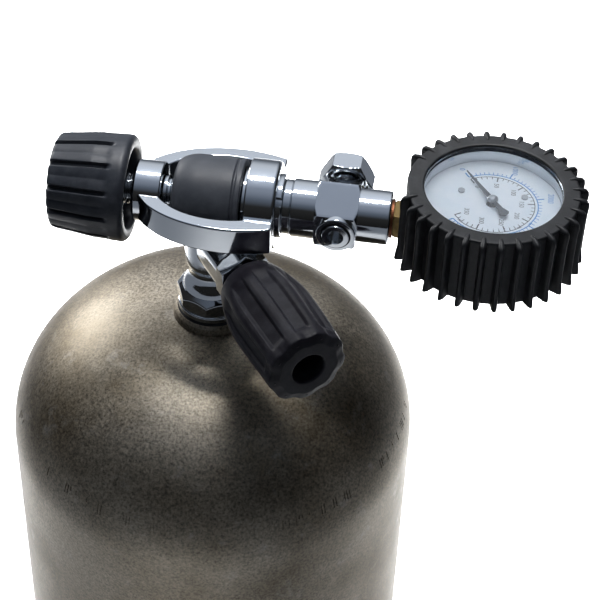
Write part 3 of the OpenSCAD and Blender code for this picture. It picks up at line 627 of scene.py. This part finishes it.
class SCUBA_OT_cylinder(bpy.types.Operator):
    """Hollow aluminium cylinder with its domed crown and neck"""

    bl_idname = "scuba.cylinder"
    bl_label = "Cylinder"

    def execute(self, context):
        sizes = context.scene.scuba_tank
        finishes = context.scene.scuba_finishes
        crown = sizes.crown_height / MM
        edge = sizes.base_round / MM
        wall = sizes.wall / MM
        shoulder = NECK_TOP - crown - sizes.neck_lip / MM
        bore, gland, neck = 13.0, 15.6, 17.0
        outside = rounded([(0, 0), (TANK_R, 0, edge), (TANK_R, shoulder)], 10)[:-1]
        outside += dome_points(TANK_R, crown, shoulder, neck + 0.6, sizes.crown_fullness, 72)
        rim = rounded([outside[-1], (neck, NECK_TOP - 1.2, 0.5), (neck - 1.2, NECK_TOP, 0.4),
                       (gland, NECK_TOP), (gland, NECK_TOP - 2.2), (bore, NECK_TOP - 2.2),
                       (bore, NECK_TOP - 26)], 3)[1:]
        inner_r = TANK_R - wall
        inside = dome_points(inner_r, crown - 22, shoulder, bore + 0.1, sizes.crown_fullness, 32)[::-1]
        floor = rounded([(inner_r, shoulder), (inner_r, 16, 12), (0, 16)], 6)[1:]
        made = lathe(outside + rim + inside[:-1] + [(inner_r, shoulder)] + floor, TANK, 192)
        carve(made, [self.stamps(0.965, shoulder, crown, sizes.crown_fullness)])
        finish_piece(made, "cylinder", blasted_aluminium(finishes), nodes=["tank_shell"])
        return {"FINISHED"}

    def stamps(self, share, shoulder, crown, fullness):
        """Tool that presses a ring of short parallel strokes into the shoulder, in place of stamped marks."""
        chance = random.Random(11)
        rise = (1 - share ** fullness) ** (1 / fullness)
        slope = Vector((share ** (fullness - 1) / TANK_R, 0, rise ** (fullness - 1) / crown)).normalized()
        spot = Vector((TANK_R * share, 0, shoulder + crown * rise))
        across = Vector((0, 1, 0))
        facing = Matrix((across, slope.cross(across), slope)).transposed().to_4x4()
        strokes = []
        places, first, step = 46, 178, 4.1  # angles in degrees round the tank
        for k in range(places):
            spin = Matrix.Rotation(math.radians(first + step * k), 4, "Z")
            place = spin @ Matrix.Translation(spot * MM) @ facing
            for bar in range(chance.randint(0, 3)):
                low = chance.choice((-2.4, -2.4, 0.2))
                left = 1.5 * bar - 2.2
                strokes.append(plate([(left, low), (left + 0.6, low), (left + 0.6, 2.4), (left, 2.4)],
                                     -0.35, 1, place))
        return merge(strokes)


class SCUBA_OT_valve_body(bpy.types.Operator):
    """Chromed valve body: collar, waisted post, arm, relief boss and outlet barrel"""

    bl_idname = "scuba.valve_body"
    bl_label = "Valve body"

    def execute(self, context):
        finishes = context.scene.scuba_finishes
        flange = NECK_TOP + 0.8
        octagon = flange + 3.2
        waist = octagon + 8.5
        axis = AXIS_Z / MM
        collar = lathe(
            rounded([(0, flange - 24), (12.95, flange - 24, 0.6), (12.95, flange - 0.5), (14.4, flange),
                     (15.3, flange + 0.4, 0.8), (15.3, octagon - 0.2, 0.9),
                     (14.6, octagon + 0.2, 0.2)], 4)
            + finer([(14.6, octagon + 0.3), (16.2, octagon + 1.9), (16.2, waist - 3),
                     (13.2, waist + 0.2)], 0.35)
            + [(0, waist + 0.2)],
            TANK, 256, only(flats(29.4, 8, 0.3, math.radians(22.5)), octagon + 0.25, waist + 0.3))
        post_line = [(0, waist - 4), (12.6, waist - 4)]
        for k in range(13):
            t = k / 12
            post_line.append((10.4 + 2.6 * (1 - smooth_step(0, 0.55, t)) + 1.6 * smooth_step(0.6, 1, t),
                              waist + 16 * t))
        post = lathe(post_line + [(12, axis - 6), (0, axis - 6)], TANK, 160)
        arm_line = rounded([(0, 0), (11.2, 0), (11.2, 26, 0.8), (7.5, 26), (7.5, 22), (0, 22)], 4)
        arm = lathe(finer(arm_line, 4), ARM, 160,
                    lambda _k, r, z, angle: (soft_min(r, 10.2 / max(abs(math.sin(angle)), 0.01), 0.7), z))
        boss = lathe(rounded([(0, 0), (9, 0), (9, -14, 0.8), (6, -14), (6, -12), (0, -12)], 4), ARM, 96)
        barrel = lathe(rounded([(0, -13.5), (14.9, -13.5, 1), (14.9, 12.5, 0.5), (4, 12.5), (4, 8),
                                (0, 8)], 4), YOKE, 96)
        made = carve(collar, [post, arm, boss, barrel], "UNION")
        # Reliefs that let the yoke's bolt and hub pass
        carve(made, [rod(YOKE, r, low, 30, 160) for r, low in ((14.5, 12.55), (19, 15.2))])
        chromed(made, "valve_body_chromed", "valve_body", finishes)
        return {"FINISHED"}


class SCUBA_OT_bonnet(bpy.types.Operator):
    """Bonnet nut on the knob's arm and relief plug behind it"""

    bl_idname = "scuba.bonnet"
    bl_label = "Bonnet nut and relief plug"

    def execute(self, context):
        finishes = context.scene.scuba_finishes
        nut = lathe(finer(rounded([(3.55, 24), (7.4, 24), (7.4, 26.1), (11.2, 26.1, 0.3), (12.4, 27, 0.2),
                                   (12.4, 32.2, 0.2), (10.9, 33, 0.3), (8.4, 33), (8.4, 35.4, 0.5),
                                   (3.55, 35.4)], 3), 0.5),
                    ARM, 192, only(flats(21, 6, 0.35, math.radians(30)), 26.05, 33.05))
        chromed(nut, "bonnet_nut_chromed", "bonnet_nut", finishes)
        plug = lathe(finer(rounded([(0, -13.8), (5.9, -13.8), (5.9, -14.1), (7.2, -14.1, 0.3),
                                    (8.3, -14.9, 0.2), (8.3, -19.3, 0.2), (7.3, -19.95, 0.3), (3, -19.95),
                                    (3, -18.4), (0, -18.4)], 3), 0.5),
                     ARM, 144, only(flats(14, 6, 0.3), -19.97, -14.05))
        vents_at = ARM @ Vector((0, 0, -16.8 * MM))
        directions = [ARM.to_3x3() @ Vector(way) for way in ((0.5, 0.866, 0), (-0.866, 0.5, 0))]
        carve(plug, [rod(placement(vents_at, direction), 1, -12, 12, 24) for direction in directions])
        chromed(plug, "relief_plug_chromed", "burst_plug", finishes)
        return {"FINISHED"}


class SCUBA_OT_valve_knob(bpy.types.Operator):
    """Ridged rubber knob of the valve"""

    bl_idname = "scuba.valve_knob"
    bl_label = "Valve knob"

    def execute(self, context):
        sizes = context.scene.scuba_valve
        finishes = context.scene.scuba_finishes
        start, full = 36.0, sizes.knob_radius / MM
        end = start + sizes.knob_length / MM
        count = sizes.knob_ridges
        inner_r, end_r = 13.0, 16.4
        swell = start + 25
        line = rounded([(7, start), (inner_r, start, 2.2), (inner_r + 2, start + 8)], 5)[:-1]
        for k in range(1, 41):
            z = start + 3 + (end - 4.5 - start) * k / 40 * 0.999
            t = min((z - start) / (swell - start), 1)
            u = max((z - swell) / (end - swell), 0)
            r = inner_r + (full - inner_r) * math.sin(t * math.pi / 2) - (full - end_r - 0.4) * u * u
            line.append((r, z))
        rim_from = len(line)
        line += rounded([line[-1], (end_r + 0.2, end - 1.2, 1.6), (13, end, 1.5), (7, end, 0.8), (7, 70)],
                        5)[1:]
        line += [(8.5, 70), (8.5, 44), (7, 44)]
        part = FULL / count

        def ridges(k, r, z, angle):
            """Narrow ridges with broad flat panels between them, and a scalloped outer end."""
            if z < start + 5 or r < 10:
                return r, z
            a = (angle + part / 2) % part - part / 2
            across = abs(a) * full
            scallop = (1 - smooth_step(0.5, 4.6, across)) * smooth_step(end - 7, end - 4.5, z)
            r -= scallop * smooth_step(10.5, 15, r)
            if k >= rim_from:
                return r, z
            ends = smooth_step(start + 7, start + 16, z) * (1 - smooth_step(end - 7.4, end - 6.0, z))
            panel = (1 - smooth_step(2.9, 4.0, across)) * ends
            rounding = 0.4 * (1 - smooth_step(3.8, 5.8, across)) * ends
            return r + ((r - 2.1) / math.cos(a) - r) * panel - rounding * (1 - panel), z

        made = lathe(line, ARM, count * 36, ridges)
        pips = []
        for k in range(count):
            angle = part * (k + 0.5)
            spot = ARM @ (Vector((14.8 * math.cos(angle), 14.8 * math.sin(angle), end - 1.5)) * MM)
            outward = ARM.to_3x3() @ Vector((0.7 * math.cos(angle), 0.7 * math.sin(angle), 0.7))
            pips.append(lathe([(0, -0.8), (1.1, -0.8), (1.05, 0.5), (0.8, 0.75), (0, 0.85)],
                              placement(spot, outward), 16))
        made = merge([made] + pips)
        rubber = moulded("moulded_valve_rubber", finishes.knob, 0.46, 0.7, 0.03, 0.12, 0.16)
        finish_piece(made, "valve_knob_rubber", rubber, "valve_turn", ["valve_knob"], 45)
        return {"FINISHED"}


class SCUBA_OT_sleeve(bpy.types.Operator):
    """Rubber sleeve over the outlet barrel"""

    bl_idname = "scuba.sleeve"
    bl_label = "Outlet sleeve"

    def execute(self, context):
        finishes = context.scene.scuba_finishes
        line = [(9, -15.5), (12.6, -15.5)]
        for k in range(1, 13):
            t = math.pi / 2 * k / 12
            line.append((12.8 + 5.1 * math.sin(t), -15.3 + 10 * (1 - math.cos(t))))
        line += rounded([line[-1], (17.9, 9.6, 0.5), (17.2, 10.1, 0.3), (17.2, 10.7, 0.3),
                         (17.9, 11.2, 0.5), (17.9, 13.3, 0.6), (15, 13.3), (15, -13.5),
                         (9, -13.5)], 4)[1:]
        made = lathe(line, YOKE, 160)
        axis = AXIS_Z / MM
        carve(made, [rod(TANK, 12.3, axis - 40, axis), rod(ARM, 11.5, -20, 40)])
        rubber = moulded("moulded_sleeve_rubber", finishes.sleeve, 0.5, 0.5, 0.02, 0.18)
        finish_piece(made, "outlet_sleeve_rubber", rubber, nodes=["outlet_sleeve"])
        return {"FINISHED"}


class SCUBA_OT_yoke(bpy.types.Operator):
    """Chromed yoke frame with its boss and hub"""

    bl_idname = "scuba.yoke"
    bl_label = "Yoke frame"

    def execute(self, context):
        sizes = context.scene.scuba_yoke
        finishes = context.scene.scuba_finishes
        half, edge = sizes.thickness / MM / 2, sizes.edge / MM
        outside, window = sizes.half_width / MM, sizes.window_half_width / MM
        steps = 192
        sections = []
        for k in range(steps):
            t = FULL * (k + 0.5) / steps
            outer = Vector((min(max(8 + 41.5 * math.cos(t), -32.4), 28.4), outside * math.sin(t)))
            inner = Vector((min(max(5 + 30 * math.cos(t), -20.4), 15.6), window * math.sin(t)))
            inward = (inner - outer).normalized()
            width = (inner - outer).length
            flat = rounded([(0, -half, edge), (0, half, edge), (width, half, edge), (width, -half, edge)],
                           4)
            sections.append([(*(outer + inward * x), z) for x, z in flat])
        arms = sweep(sections, placement((0, 0, AXIS_Z), UP, Vector((1, 0, 0))))
        boss = lathe(rounded([(0, -32.5), (13, -32.5, 1.4), (13, -20.5, 0.7), (0, -20.5)], 5), YOKE, 144)
        hub = lathe(rounded([(0, 15.5), (18.7, 15.5, 0.9), (18.7, 28.5, 2.0), (0, 28.5)], 6), YOKE, 160)
        made = carve(arms, [boss, hub], "UNION")
        bores = ((6.6, -34, -18), (7.8, -26.1, -18), (8.05, 14, 30))
        carve(made, [rod(YOKE, r, low, high) for r, low, high in bores])
        chromed(made, "yoke_frame_chromed", "yoke_frame", finishes)
        return {"FINISHED"}


class SCUBA_OT_yoke_fittings(bpy.types.Operator):
    """Seat bolt, slotted ring, clamping screw and its tip"""

    bl_idname = "scuba.yoke_fittings"
    bl_label = "Yoke fittings"

    def execute(self, context):
        finishes = context.scene.scuba_finishes
        pitch = context.scene.scuba_yoke.screw_pitch / MM
        bolt = lathe(rounded([(2.5, 9.7), (3.6, 9.7, 0.3), (3.6, 12.7), (12, 12.7, 0.3), (12, 13.6),
                              (14.2, 13.6, 0.5), (14.2, 15.5), (8, 15.5), (8, 30.5), (6, 30.5), (6, 38),
                              (2.5, 38)], 4),
                     YOKE, 128)
        chromed(bolt, "seat_bolt_chromed", "yoke_retainer", finishes)

        def slots(_k, r, z, angle):
            a = angle % (math.pi / 2) - math.pi / 4
            deep = 1 - smooth_step(0.115, 0.135, abs(a))
            return (r - (r - 11) * deep, z) if r > 11 else (r, z)

        ring = lathe(rounded([(8.05, 28.5), (13.5, 28.5), (13.5, 30.5, 0.5), (8.05, 30.5)], 4), YOKE, 384,
                     slots)
        chromed(ring, "slotted_ring_chromed", "retainer_ring", finishes)

        def helix(_k, r, z, angle):
            wave = abs(((z / pitch - angle / FULL) % 1) * 2 - 1)
            deep = 0.75 * smooth_step(0.05, 0.95, wave)
            return (r - deep, z) if -50 < z < -21.5 and r > 6 else (r, z)

        stem = finer([(6.5, -50), (6.5, -20.7)], 0.2)
        low_end = [(0, -62), (6, -62), (6, -50.1)]
        high_end = [(5.6, -20.4), (2.5, -20.4), (2.5, -16.5), (0, -16.5)]
        screw = lathe(low_end + stem + high_end, YOKE, 72, helix)
        chromed(screw, "clamping_screw_chromed", "yoke_screw", finishes, "clamp_turn", 50)
        tip = lathe(rounded([(0, -13.7), (6.4, -13.7, 0.8), (7.5, -14.8, 0.5), (7.5, -16.7, 0.3),
                             (6.3, -17.1, 0.3), (6.3, -18.1, 0.3), (7.5, -18.5, 0.3), (7.5, -20.2, 0.4),
                             (2.55, -20.2), (2.55, -16.4), (0, -16.4)], 4), YOKE, 96)
        chromed(tip, "screw_tip_chromed", "screw_tip", finishes, "clamp_tip")
        return {"FINISHED"}


class SCUBA_OT_clamp_knob(bpy.types.Operator):
    """Lobed cup-shaped knob of the clamping screw"""

    bl_idname = "scuba.clamp_knob"
    bl_label = "Clamping knob"

    def execute(self, context):
        finishes = context.scene.scuba_finishes
        count = context.scene.scuba_yoke.clamp_lobes
        end, rim = -66.8, -34.0
        outer = rounded([(0, end), (20.2, end, 2.4), (22.4, end + 18, 12), (22.8, rim, 2.6),
                         (16.8, rim, 2.2), (16.2, -53, 1.5), (10, -53, 1), (10, -46, 0.8), (6.05, -46),
                         (6.05, -62), (0, -62)], 6)
        line = finer(outer, 1.0)
        part = FULL / count

        def lobes(_k, r, z, angle):
            """Narrow grooves between broad flat lobes, fading out before the rim."""
            if r < 14 or (r < 18 and z > end + 4):
                return r, z
            a = (angle + part / 2) % part - part / 2
            across = abs(a) * r
            fade = 1 - smooth_step(rim - 9, rim - 6.5, z)
            at_end = smooth_step(14, 18, r)
            groove = 1.9 * (1 - smooth_step(0.55, 1.35, across))
            bow = 0.55 * (2 * abs(a) / part) ** 2
            return r - (groove + bow) * fade * at_end, z

        made = lathe(line, YOKE, count * 36, lobes)
        nylon = moulded("moulded_clamp_nylon", finishes.clamp, 0.38, 0.5, 0.02, 0.2)
        finish_piece(made, "clamp_knob_nylon", nylon, "clamp_turn", ["yoke_knob"], 45)
        return {"FINISHED"}


class SCUBA_OT_block(bpy.types.Operator):
    """Chromed gauge block with its front plug and rear bleed"""

    bl_idname = "scuba.block"
    bl_label = "Gauge block"

    def execute(self, context):
        finishes = context.scene.scuba_finishes
        line = finer(rounded([(6.05, 30.5), (11.5, 30.5, 0.5), (11.5, 33.6, 0.5), (11.3, 34),
                              (12.2, 34.3, 0.4), (12.2, 44.4), (14.3, 44.55, 0.2), (15.8, 45.8, 0.3),
                              (15.8, 60.9, 0.3), (14.3, 62.15, 0.3), (11.3, 62.2), (11.3, 75.5, 0.9),
                              (6.55, 75.5), (6.55, 64.2), (2.5, 64.2), (2.5, 38.6),
                              (6.05, 38.6)], 4), 0.8)
        body = lathe(line, YOKE, 192, only(flats(27, 6, 0.5, math.radians(30)), 44.52, 62.17))
        front = lathe(rounded([(0, -8), (8.25, -8), (8.25, -15.5, 0.7), (6.4, -15.5), (6.4, -14),
                               (5.05, -14), (5.05, -10), (0, -10)], 4), PORT, 96)
        rear = lathe(rounded([(0, 8), (7.2, 8), (7.2, 15.5, 0.5), (5.05, 15.5), (5.05, 10), (0, 10)], 4),
                     PORT, 96)
        made = carve(body, [front, rear], "UNION")
        carve(made, [rod(PORT, 5.06, low, high, 64) for low, high in ((-16, -6), (5, 16))])
        chromed(made, "gauge_block_chromed", "gauge_block", finishes)

        hexagon = flats(6.2, 6, SHARP)
        plug = lathe(rounded([(0, -7), (4.9, -7), (4.9, -15.5), (5.7, -15.5), (5.7, -16.5, 0.45),
                              (3.5, -16.5), (3.3, -16.1), (3.3, -12), (0, -12)], 4), PORT, 96,
                     lambda k, r, z, angle: hexagon(k, r, z, angle) if r < 3.4 and z < -11.9 else (r, z))
        chromed(plug, "port_plug_chromed", "port_plug", finishes)

        bleed = lathe(finer(rounded([(0, 7.5), (2.6, 7.5), (2.6, 5.9), (3.9, 5.9), (3.9, 9), (5, 9),
                                     (5, 12), (4, 12), (4, 14), (5, 14), (5, 19.4), (8.2, 17.1, 0.2),
                                     (9.8, 17.05, 0.3), (12, 18.3, 0.2), (12, 26.6, 0.2), (9.8, 28, 0.4),
                                     (0, 28.05)], 4), 0.6), PORT, 192,
                      only(flats(20.5, 6, 0.4), 17.03, 28.03))
        chromed(bleed, "bleed_screw_chromed", "bleed_screw", finishes, "bleed_turn")
        return {"FINISHED"}


class SCUBA_OT_shank(bpy.types.Operator):
    """Square brass shank between the block and the gauge"""

    bl_idname = "scuba.shank"
    bl_label = "Gauge shank"

    def execute(self, context):
        finishes = context.scene.scuba_finishes
        square = flats(11, 4, 0.5)
        foot = GAUGE_X / MM - 19
        line = finer(rounded([(0, 64.6), (6.4, 64.6), (6.4, 76.5), (7.2, 76.6, 0.2), (8.2, 77.5),
                              (8.2, foot, 0.3), (0, foot)], 3), 1.5)
        made = lathe(line, YOKE, 144, only(square, 76.55, foot + 1))
        brass = milled_brass(finishes)
        finish_piece(made, "gauge_shank_brass", brass, nodes=["gauge_socket"], sharp=30)
        return {"FINISHED"}


class SCUBA_OT_gauge_case(bpy.types.Operator):
    """Steel case, bezel ring and lens of the gauge"""

    bl_idname = "scuba.gauge_case"
    bl_label = "Gauge case and lens"

    def execute(self, context):
        polished = machined("polished_stainless_steel", linear("D5DAE0"), 0.12, 0.8, 0.1, "A9ACB0")
        case = lathe(rounded([(0, -8), (31, -8, 1), (31, 20.4), (29.55, 20.4), (29.55, 18),
                              (28.2, 18, 0.2), (28.2, 12), (27.4, 12), (27.4, -6),
                              (0, -6)], 4), GAUGE, 192)
        window = placement((GAUGE_X - 0.029, 0, AXIS_Z), (1, 0, 0))
        carve(case, [lathe([(0, -6), (8.3, -6), (8.3, 6), (0, 6)], window, 144, flats(11.8, 4, SHARP))])
        finish_piece(case, "gauge_case_steel", polished, nodes=["gauge_case"], sharp=30)
        bezel = lathe(rounded([(28.2, 20.4), (31, 20.4), (31, 21.3, 0.3), (28.4, 21.3, 0.5)], 3), GAUGE,
                      192)
        finish_piece(bezel, "bezel_ring_steel", polished, nodes=["lens_ring"], sharp=30)
        lens = lathe(rounded([(0, 18.4), (29.5, 18.4), (29.5, 20.2, 0.4), (24, 20.38, 4), (0, 20.4)], 5),
                     GAUGE, 160)
        finish_piece(lens, "lens_polycarbonate", clear_polycarbonate(), nodes=["lens"])
        return {"FINISHED"}


def bar_angle(sizes, share):
    """Direction on the dial for a share of full scale, turning clockwise from zero."""
    return sizes.zero - sizes.sweep * share


def tick(angle, inner, outer, width, low, high):
    """A thin radial bar on the dial."""
    along = Vector((math.cos(angle), math.sin(angle), 0))
    aside = Vector((-along.y, along.x, 0)) * (width / 2)
    corners = [along * inner - aside, along * outer - aside, along * outer + aside, along * inner + aside]
    return plate([(c.x, c.y) for c in corners], low, high, GAUGE)


def arc_band(inner, outer, start, end, low, high, steps=96):
    """A printed arc of the dial, as a thin band."""
    turns = [start + (end - start) * k / steps for k in range(steps + 1)]
    sections = []
    for t in turns:
        c, s = math.cos(t), math.sin(t)
        sections.append([(inner * c, inner * s, low), (outer * c, outer * s, low),
                         (outer * c, outer * s, high), (inner * c, inner * s, high)])
    return sweep(sections, GAUGE, closed=False)


def figure(text, size, radius, angle, low):
    """A printed number, upright for a reader who has the shank at the bottom."""
    curve = bpy.data.curves.new("figure", "FONT")
    curve.body = text
    curve.size = size
    curve.align_x = "CENTER"
    curve.align_y = "CENTER"
    curve.extrude = 0.01
    holder = bpy.data.objects.new("figure", curve)
    bpy.context.scene.collection.objects.link(holder)
    bpy.context.view_layer.update()
    mesh = bpy.data.meshes.new_from_object(holder.evaluated_get(bpy.context.evaluated_depsgraph_get()))
    bpy.data.objects.remove(holder)
    upright = Matrix(((0, 1, 0), (-1, 0, 0), (0, 0, 1))).to_4x4()
    spot = Matrix.Translation((radius * math.cos(angle), radius * math.sin(angle), low))
    mesh.transform(GAUGE @ Matrix.Scale(MM, 4) @ spot @ upright)
    made = bpy.data.objects.new("figure", mesh)
    bpy.context.scene.collection.objects.link(made)
    return made


class SCUBA_OT_dial(bpy.types.Operator):
    """Enamelled dial with two printed scales and plain numbers"""

    bl_idname = "scuba.dial"
    bl_label = "Dial"

    def execute(self, context):
        sizes = context.scene.scuba_gauge
        finishes = context.scene.scuba_finishes
        low, high = 12.8, 12.83
        disc = lathe(rounded([(2.5, 12), (28.1, 12), (28.1, 12.8, 0.1), (2.5, 12.8)], 3), GAUGE, 160)
        finish_piece(disc, "dial_enamelled", printed("white_enamel", finishes.dial, 0.35), nodes=["dial"])
        black = [arc_band(17.3, 17.65, bar_angle(sizes, 0), bar_angle(sizes, 1), low, high)]
        for k in range(36):
            inner, width = (14.6, 0.55) if k % 5 == 0 else (16.0, 0.3)
            black.append(tick(bar_angle(sizes, k / 35), inner, 17.5, width, low, high))
        for k in range(8):
            black.append(figure(str(50 * k), 2.8, 12.0, bar_angle(sizes, k / 7), low))
        finish_piece(merge(black), "dial_inner_scale", printed("black_ink", finishes.ink, 0.5))
        blue_end = 0.985  # share of the sweep at which the outer scale ends
        blue = [arc_band(18.6, 19.1, bar_angle(sizes, 0), bar_angle(sizes, blue_end), low, high)]
        for k in range(51):
            outer, width = (22, 0.6) if k % 10 == 0 else (20.4, 0.3)
            blue.append(tick(bar_angle(sizes, blue_end * k / 50), 19, outer, width, low, high))
        for k in range(6):
            blue.append(figure(str(1000 * k), 3.0, 24.6, bar_angle(sizes, blue_end * k / 5), low))
        finish_piece(merge(blue), "dial_outer_scale", printed("blue_ink", finishes.blue_ink, 0.5))
        return {"FINISHED"}


class SCUBA_OT_needle(bpy.types.Operator):
    """Needle with its spade tail and bright cap"""

    bl_idname = "scuba.needle"
    bl_label = "Needle"

    def execute(self, context):
        sizes = context.scene.scuba_gauge
        finishes = context.scene.scuba_finishes
        place = GAUGE @ Matrix.Rotation(sizes.zero, 4, "Z")
        blade = rounded([(-10.8, 0, 0.4), (-9.6, -2.4, 0.8), (-6, -1.1, 1), (-2.4, -0.9), (0, -1.5, 1),
                         (2.4, -1), (21, -0.16), (21, 0.16), (2.4, 1), (0, 1.5, 1), (-2.4, 0.9),
                         (-6, 1.1, 1), (-9.6, 2.4, 0.8)], 4)
        made = plate(blade, 14.5, 15, place)
        finish_piece(made, "needle_enamelled", printed("black_enamel", finishes.ink, 0.4), "gauge_needle",
                     ["needle"])
        cap = lathe(rounded([(0, 15), (2.3, 15), (2.2, 15.7, 0.3), (1.2, 16.4, 0.8), (0, 16.5)], 4),
                    GAUGE, 48)
        finish_piece(cap, "needle_cap_bright", steel(), "gauge_needle", ["needle_cap"])
        return {"FINISHED"}


class SCUBA_OT_boot(bpy.types.Operator):
    """Ribbed rubber boot round the gauge"""

    bl_idname = "scuba.boot"
    bl_label = "Gauge boot"

    def execute(self, context):
        sizes = context.scene.scuba_gauge
        finishes = context.scene.scuba_finishes
        floor, top, core = -10.2, 22.3, 35.3
        outline = rounded([(12, floor, 0.5), (core, floor, 1.2), (core, top, 0.9), (28.2, top, 0.9),
                           (28.2, 21.35, 0.2), (31.1, 21.35), (31.1, -8.05), (12, -8.05, 0.5)], 6)
        line = finer(outline, 0.8)
        body = lathe(line, GAUGE, 256)
        window = placement((GAUGE_X - 0.033, 0, AXIS_Z), (1, 0, 0))
        carve(body, [lathe([(0, -6), (8.6, -6), (8.6, 6), (0, 6)], window, 96, flats(12.2, 4, SHARP))])
        part = FULL / sizes.boot_ribs
        half = sizes.rib_width / MM / 2
        ribs = []
        for k in range(sizes.boot_ribs):
            turn = part * (k + 0.75)
            if abs(math.degrees(turn) - 180) < 17:
                continue
            ribs.append(self.rib(turn, half, floor, top, core))
        made = merge([body] + ribs)
        rubber = moulded("moulded_boot_rubber", finishes.boot, 0.48, 0.6, 0.03, 0.15)
        finish_piece(made, "gauge_boot_rubber", rubber, nodes=["gauge_boot"], sharp=45)
        return {"FINISHED"}

    def rib(self, turn, half, floor, top, core):
        """One rib: a tapered fin that wraps over the front edge as a wedge and flares at the foot."""
        path = [(core + 4.5, floor + 0.2), (core + 4.3, floor + 2.5), (core + 3.6, floor + 7),
                (core + 3.5, 4), (core + 3.5, top - 7), (core + 3.8, top - 3.2), (core + 3.5, top - 1.2),
                (core + 2.4, top + 0.1), (core - 0.6, top + 0.75), (core - 2.6, top + 0.5),
                (core - 3.4, top + 0.2)]
        roots = [(core - 1.5, z) for _r, z in path[:7]]
        roots += [(core - 1.5, top - 1.6), (core - 1.8, top - 1.2), (core - 2.4, top - 1.0),
                  (core - 3.2, top - 0.9)]
        spin = Matrix.Rotation(turn, 4, "Z")
        sections = []
        for i, ((r, z), (root_r, root_z)) in enumerate(zip(path, roots)):
            tip, root = Vector((r, 0, z)), Vector((root_r, 0, root_z))
            out = (tip - root).normalized()
            narrow = min(1, 0.35 + 0.22 * (len(path) - 1 - i))
            section = []
            for side, reach in ((-1, 0), (-1, 0.75), (-0.62, 0.95), (0, 1), (0.62, 0.95), (1, 0.75),
                                (1, 0)):
                wide = half * narrow * (1 - 0.4 * reach)
                section.append(root + out * ((tip - root).length * reach) + Vector((0, side * wide, 0)))
            sections.append([spin @ p for p in section])
        return sweep(sections, GAUGE, closed=False)


class SCUBA_OT_hidden(bpy.types.Operator):
    """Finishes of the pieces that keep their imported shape"""

    bl_idname = "scuba.hidden"
    bl_label = "Inner pieces"

    def execute(self, context):
        finishes = context.scene.scuba_finishes
        by_slot = {
            "seal_rubber": seal_rubber(),
            "brass": milled_brass(finishes),
            "bronze": machined("drawn_phosphor_bronze", linear("A9784A"), 0.3, 0.5, 0.5, "6E4C2F"),
            "copper": machined("annealed_copper", linear("6B4430"), 0.4, 0.6, 0.6, "4A3024"),
            "steel": steel(),
            "white_nylon": moulded("moulded_natural_nylon", linear("E4E0D4"), 0.45, 0.6, 0.02, 0.1),
            "chrome_plate": chrome_plate(finishes),
        }
        for part in frame["record"]["subparts"]:
            node = frame["nodes"][part["node"]]
            if part["material_slot"] not in by_slot or node.hide_render:
                continue
            for holder in node.material_slots:
                holder.material = by_slot[part["material_slot"]]
        return {"FINISHED"}


# ---------- add-on ----------

SIZES = (ScubaTankSizes, ScubaValveSizes, ScubaYokeSizes, ScubaGaugeSizes, ScubaFinishes)
GROUPS = dict(zip(("scuba_tank", "scuba_valve", "scuba_yoke", "scuba_gauge", "scuba_finishes"), SIZES))
OPERATORS = (
    SCUBA_OT_stage, SCUBA_OT_cylinder, SCUBA_OT_valve_body, SCUBA_OT_bonnet, SCUBA_OT_valve_knob,
             SCUBA_OT_sleeve,
    SCUBA_OT_yoke, SCUBA_OT_yoke_fittings, SCUBA_OT_clamp_knob, SCUBA_OT_block, SCUBA_OT_shank,
             SCUBA_OT_gauge_case,
    SCUBA_OT_dial, SCUBA_OT_needle, SCUBA_OT_boot, SCUBA_OT_hidden,
)


class SCUBA_PT_panel(bpy.types.Panel):
    """Sizes, colours and the pieces to build"""

    bl_idname = "SCUBA_PT_panel"
    bl_label = "Scuba Tank"
    bl_space_type = "VIEW_3D"
    bl_region_type = "UI"
    bl_category = "Scuba Tank"

    def draw(self, context):
        for name in GROUPS:
            group = getattr(context.scene, name)
            box = self.layout.box()
            for key in group.bl_rna.properties.keys():
                if key not in {"rna_type", "name"}:
                    box.prop(group, key)
        for operator in OPERATORS:
            self.layout.operator(operator.bl_idname)


def register():
    for cls in (*SIZES, *OPERATORS, SCUBA_PT_panel):
        bpy.utils.register_class(cls)
    for name, cls in GROUPS.items():
        setattr(bpy.types.Scene, name, PointerProperty(type=cls))


def unregister():
    for name in GROUPS:
        delattr(bpy.types.Scene, name)
    for cls in reversed((*SIZES, *OPERATORS, SCUBA_PT_panel)):
        bpy.utils.unregister_class(cls)


def main():
    register()
    for operator in OPERATORS:
        group, name = operator.bl_idname.split(".")
        getattr(getattr(bpy.ops, group), name)()


if __name__ == "__main__":
    main()
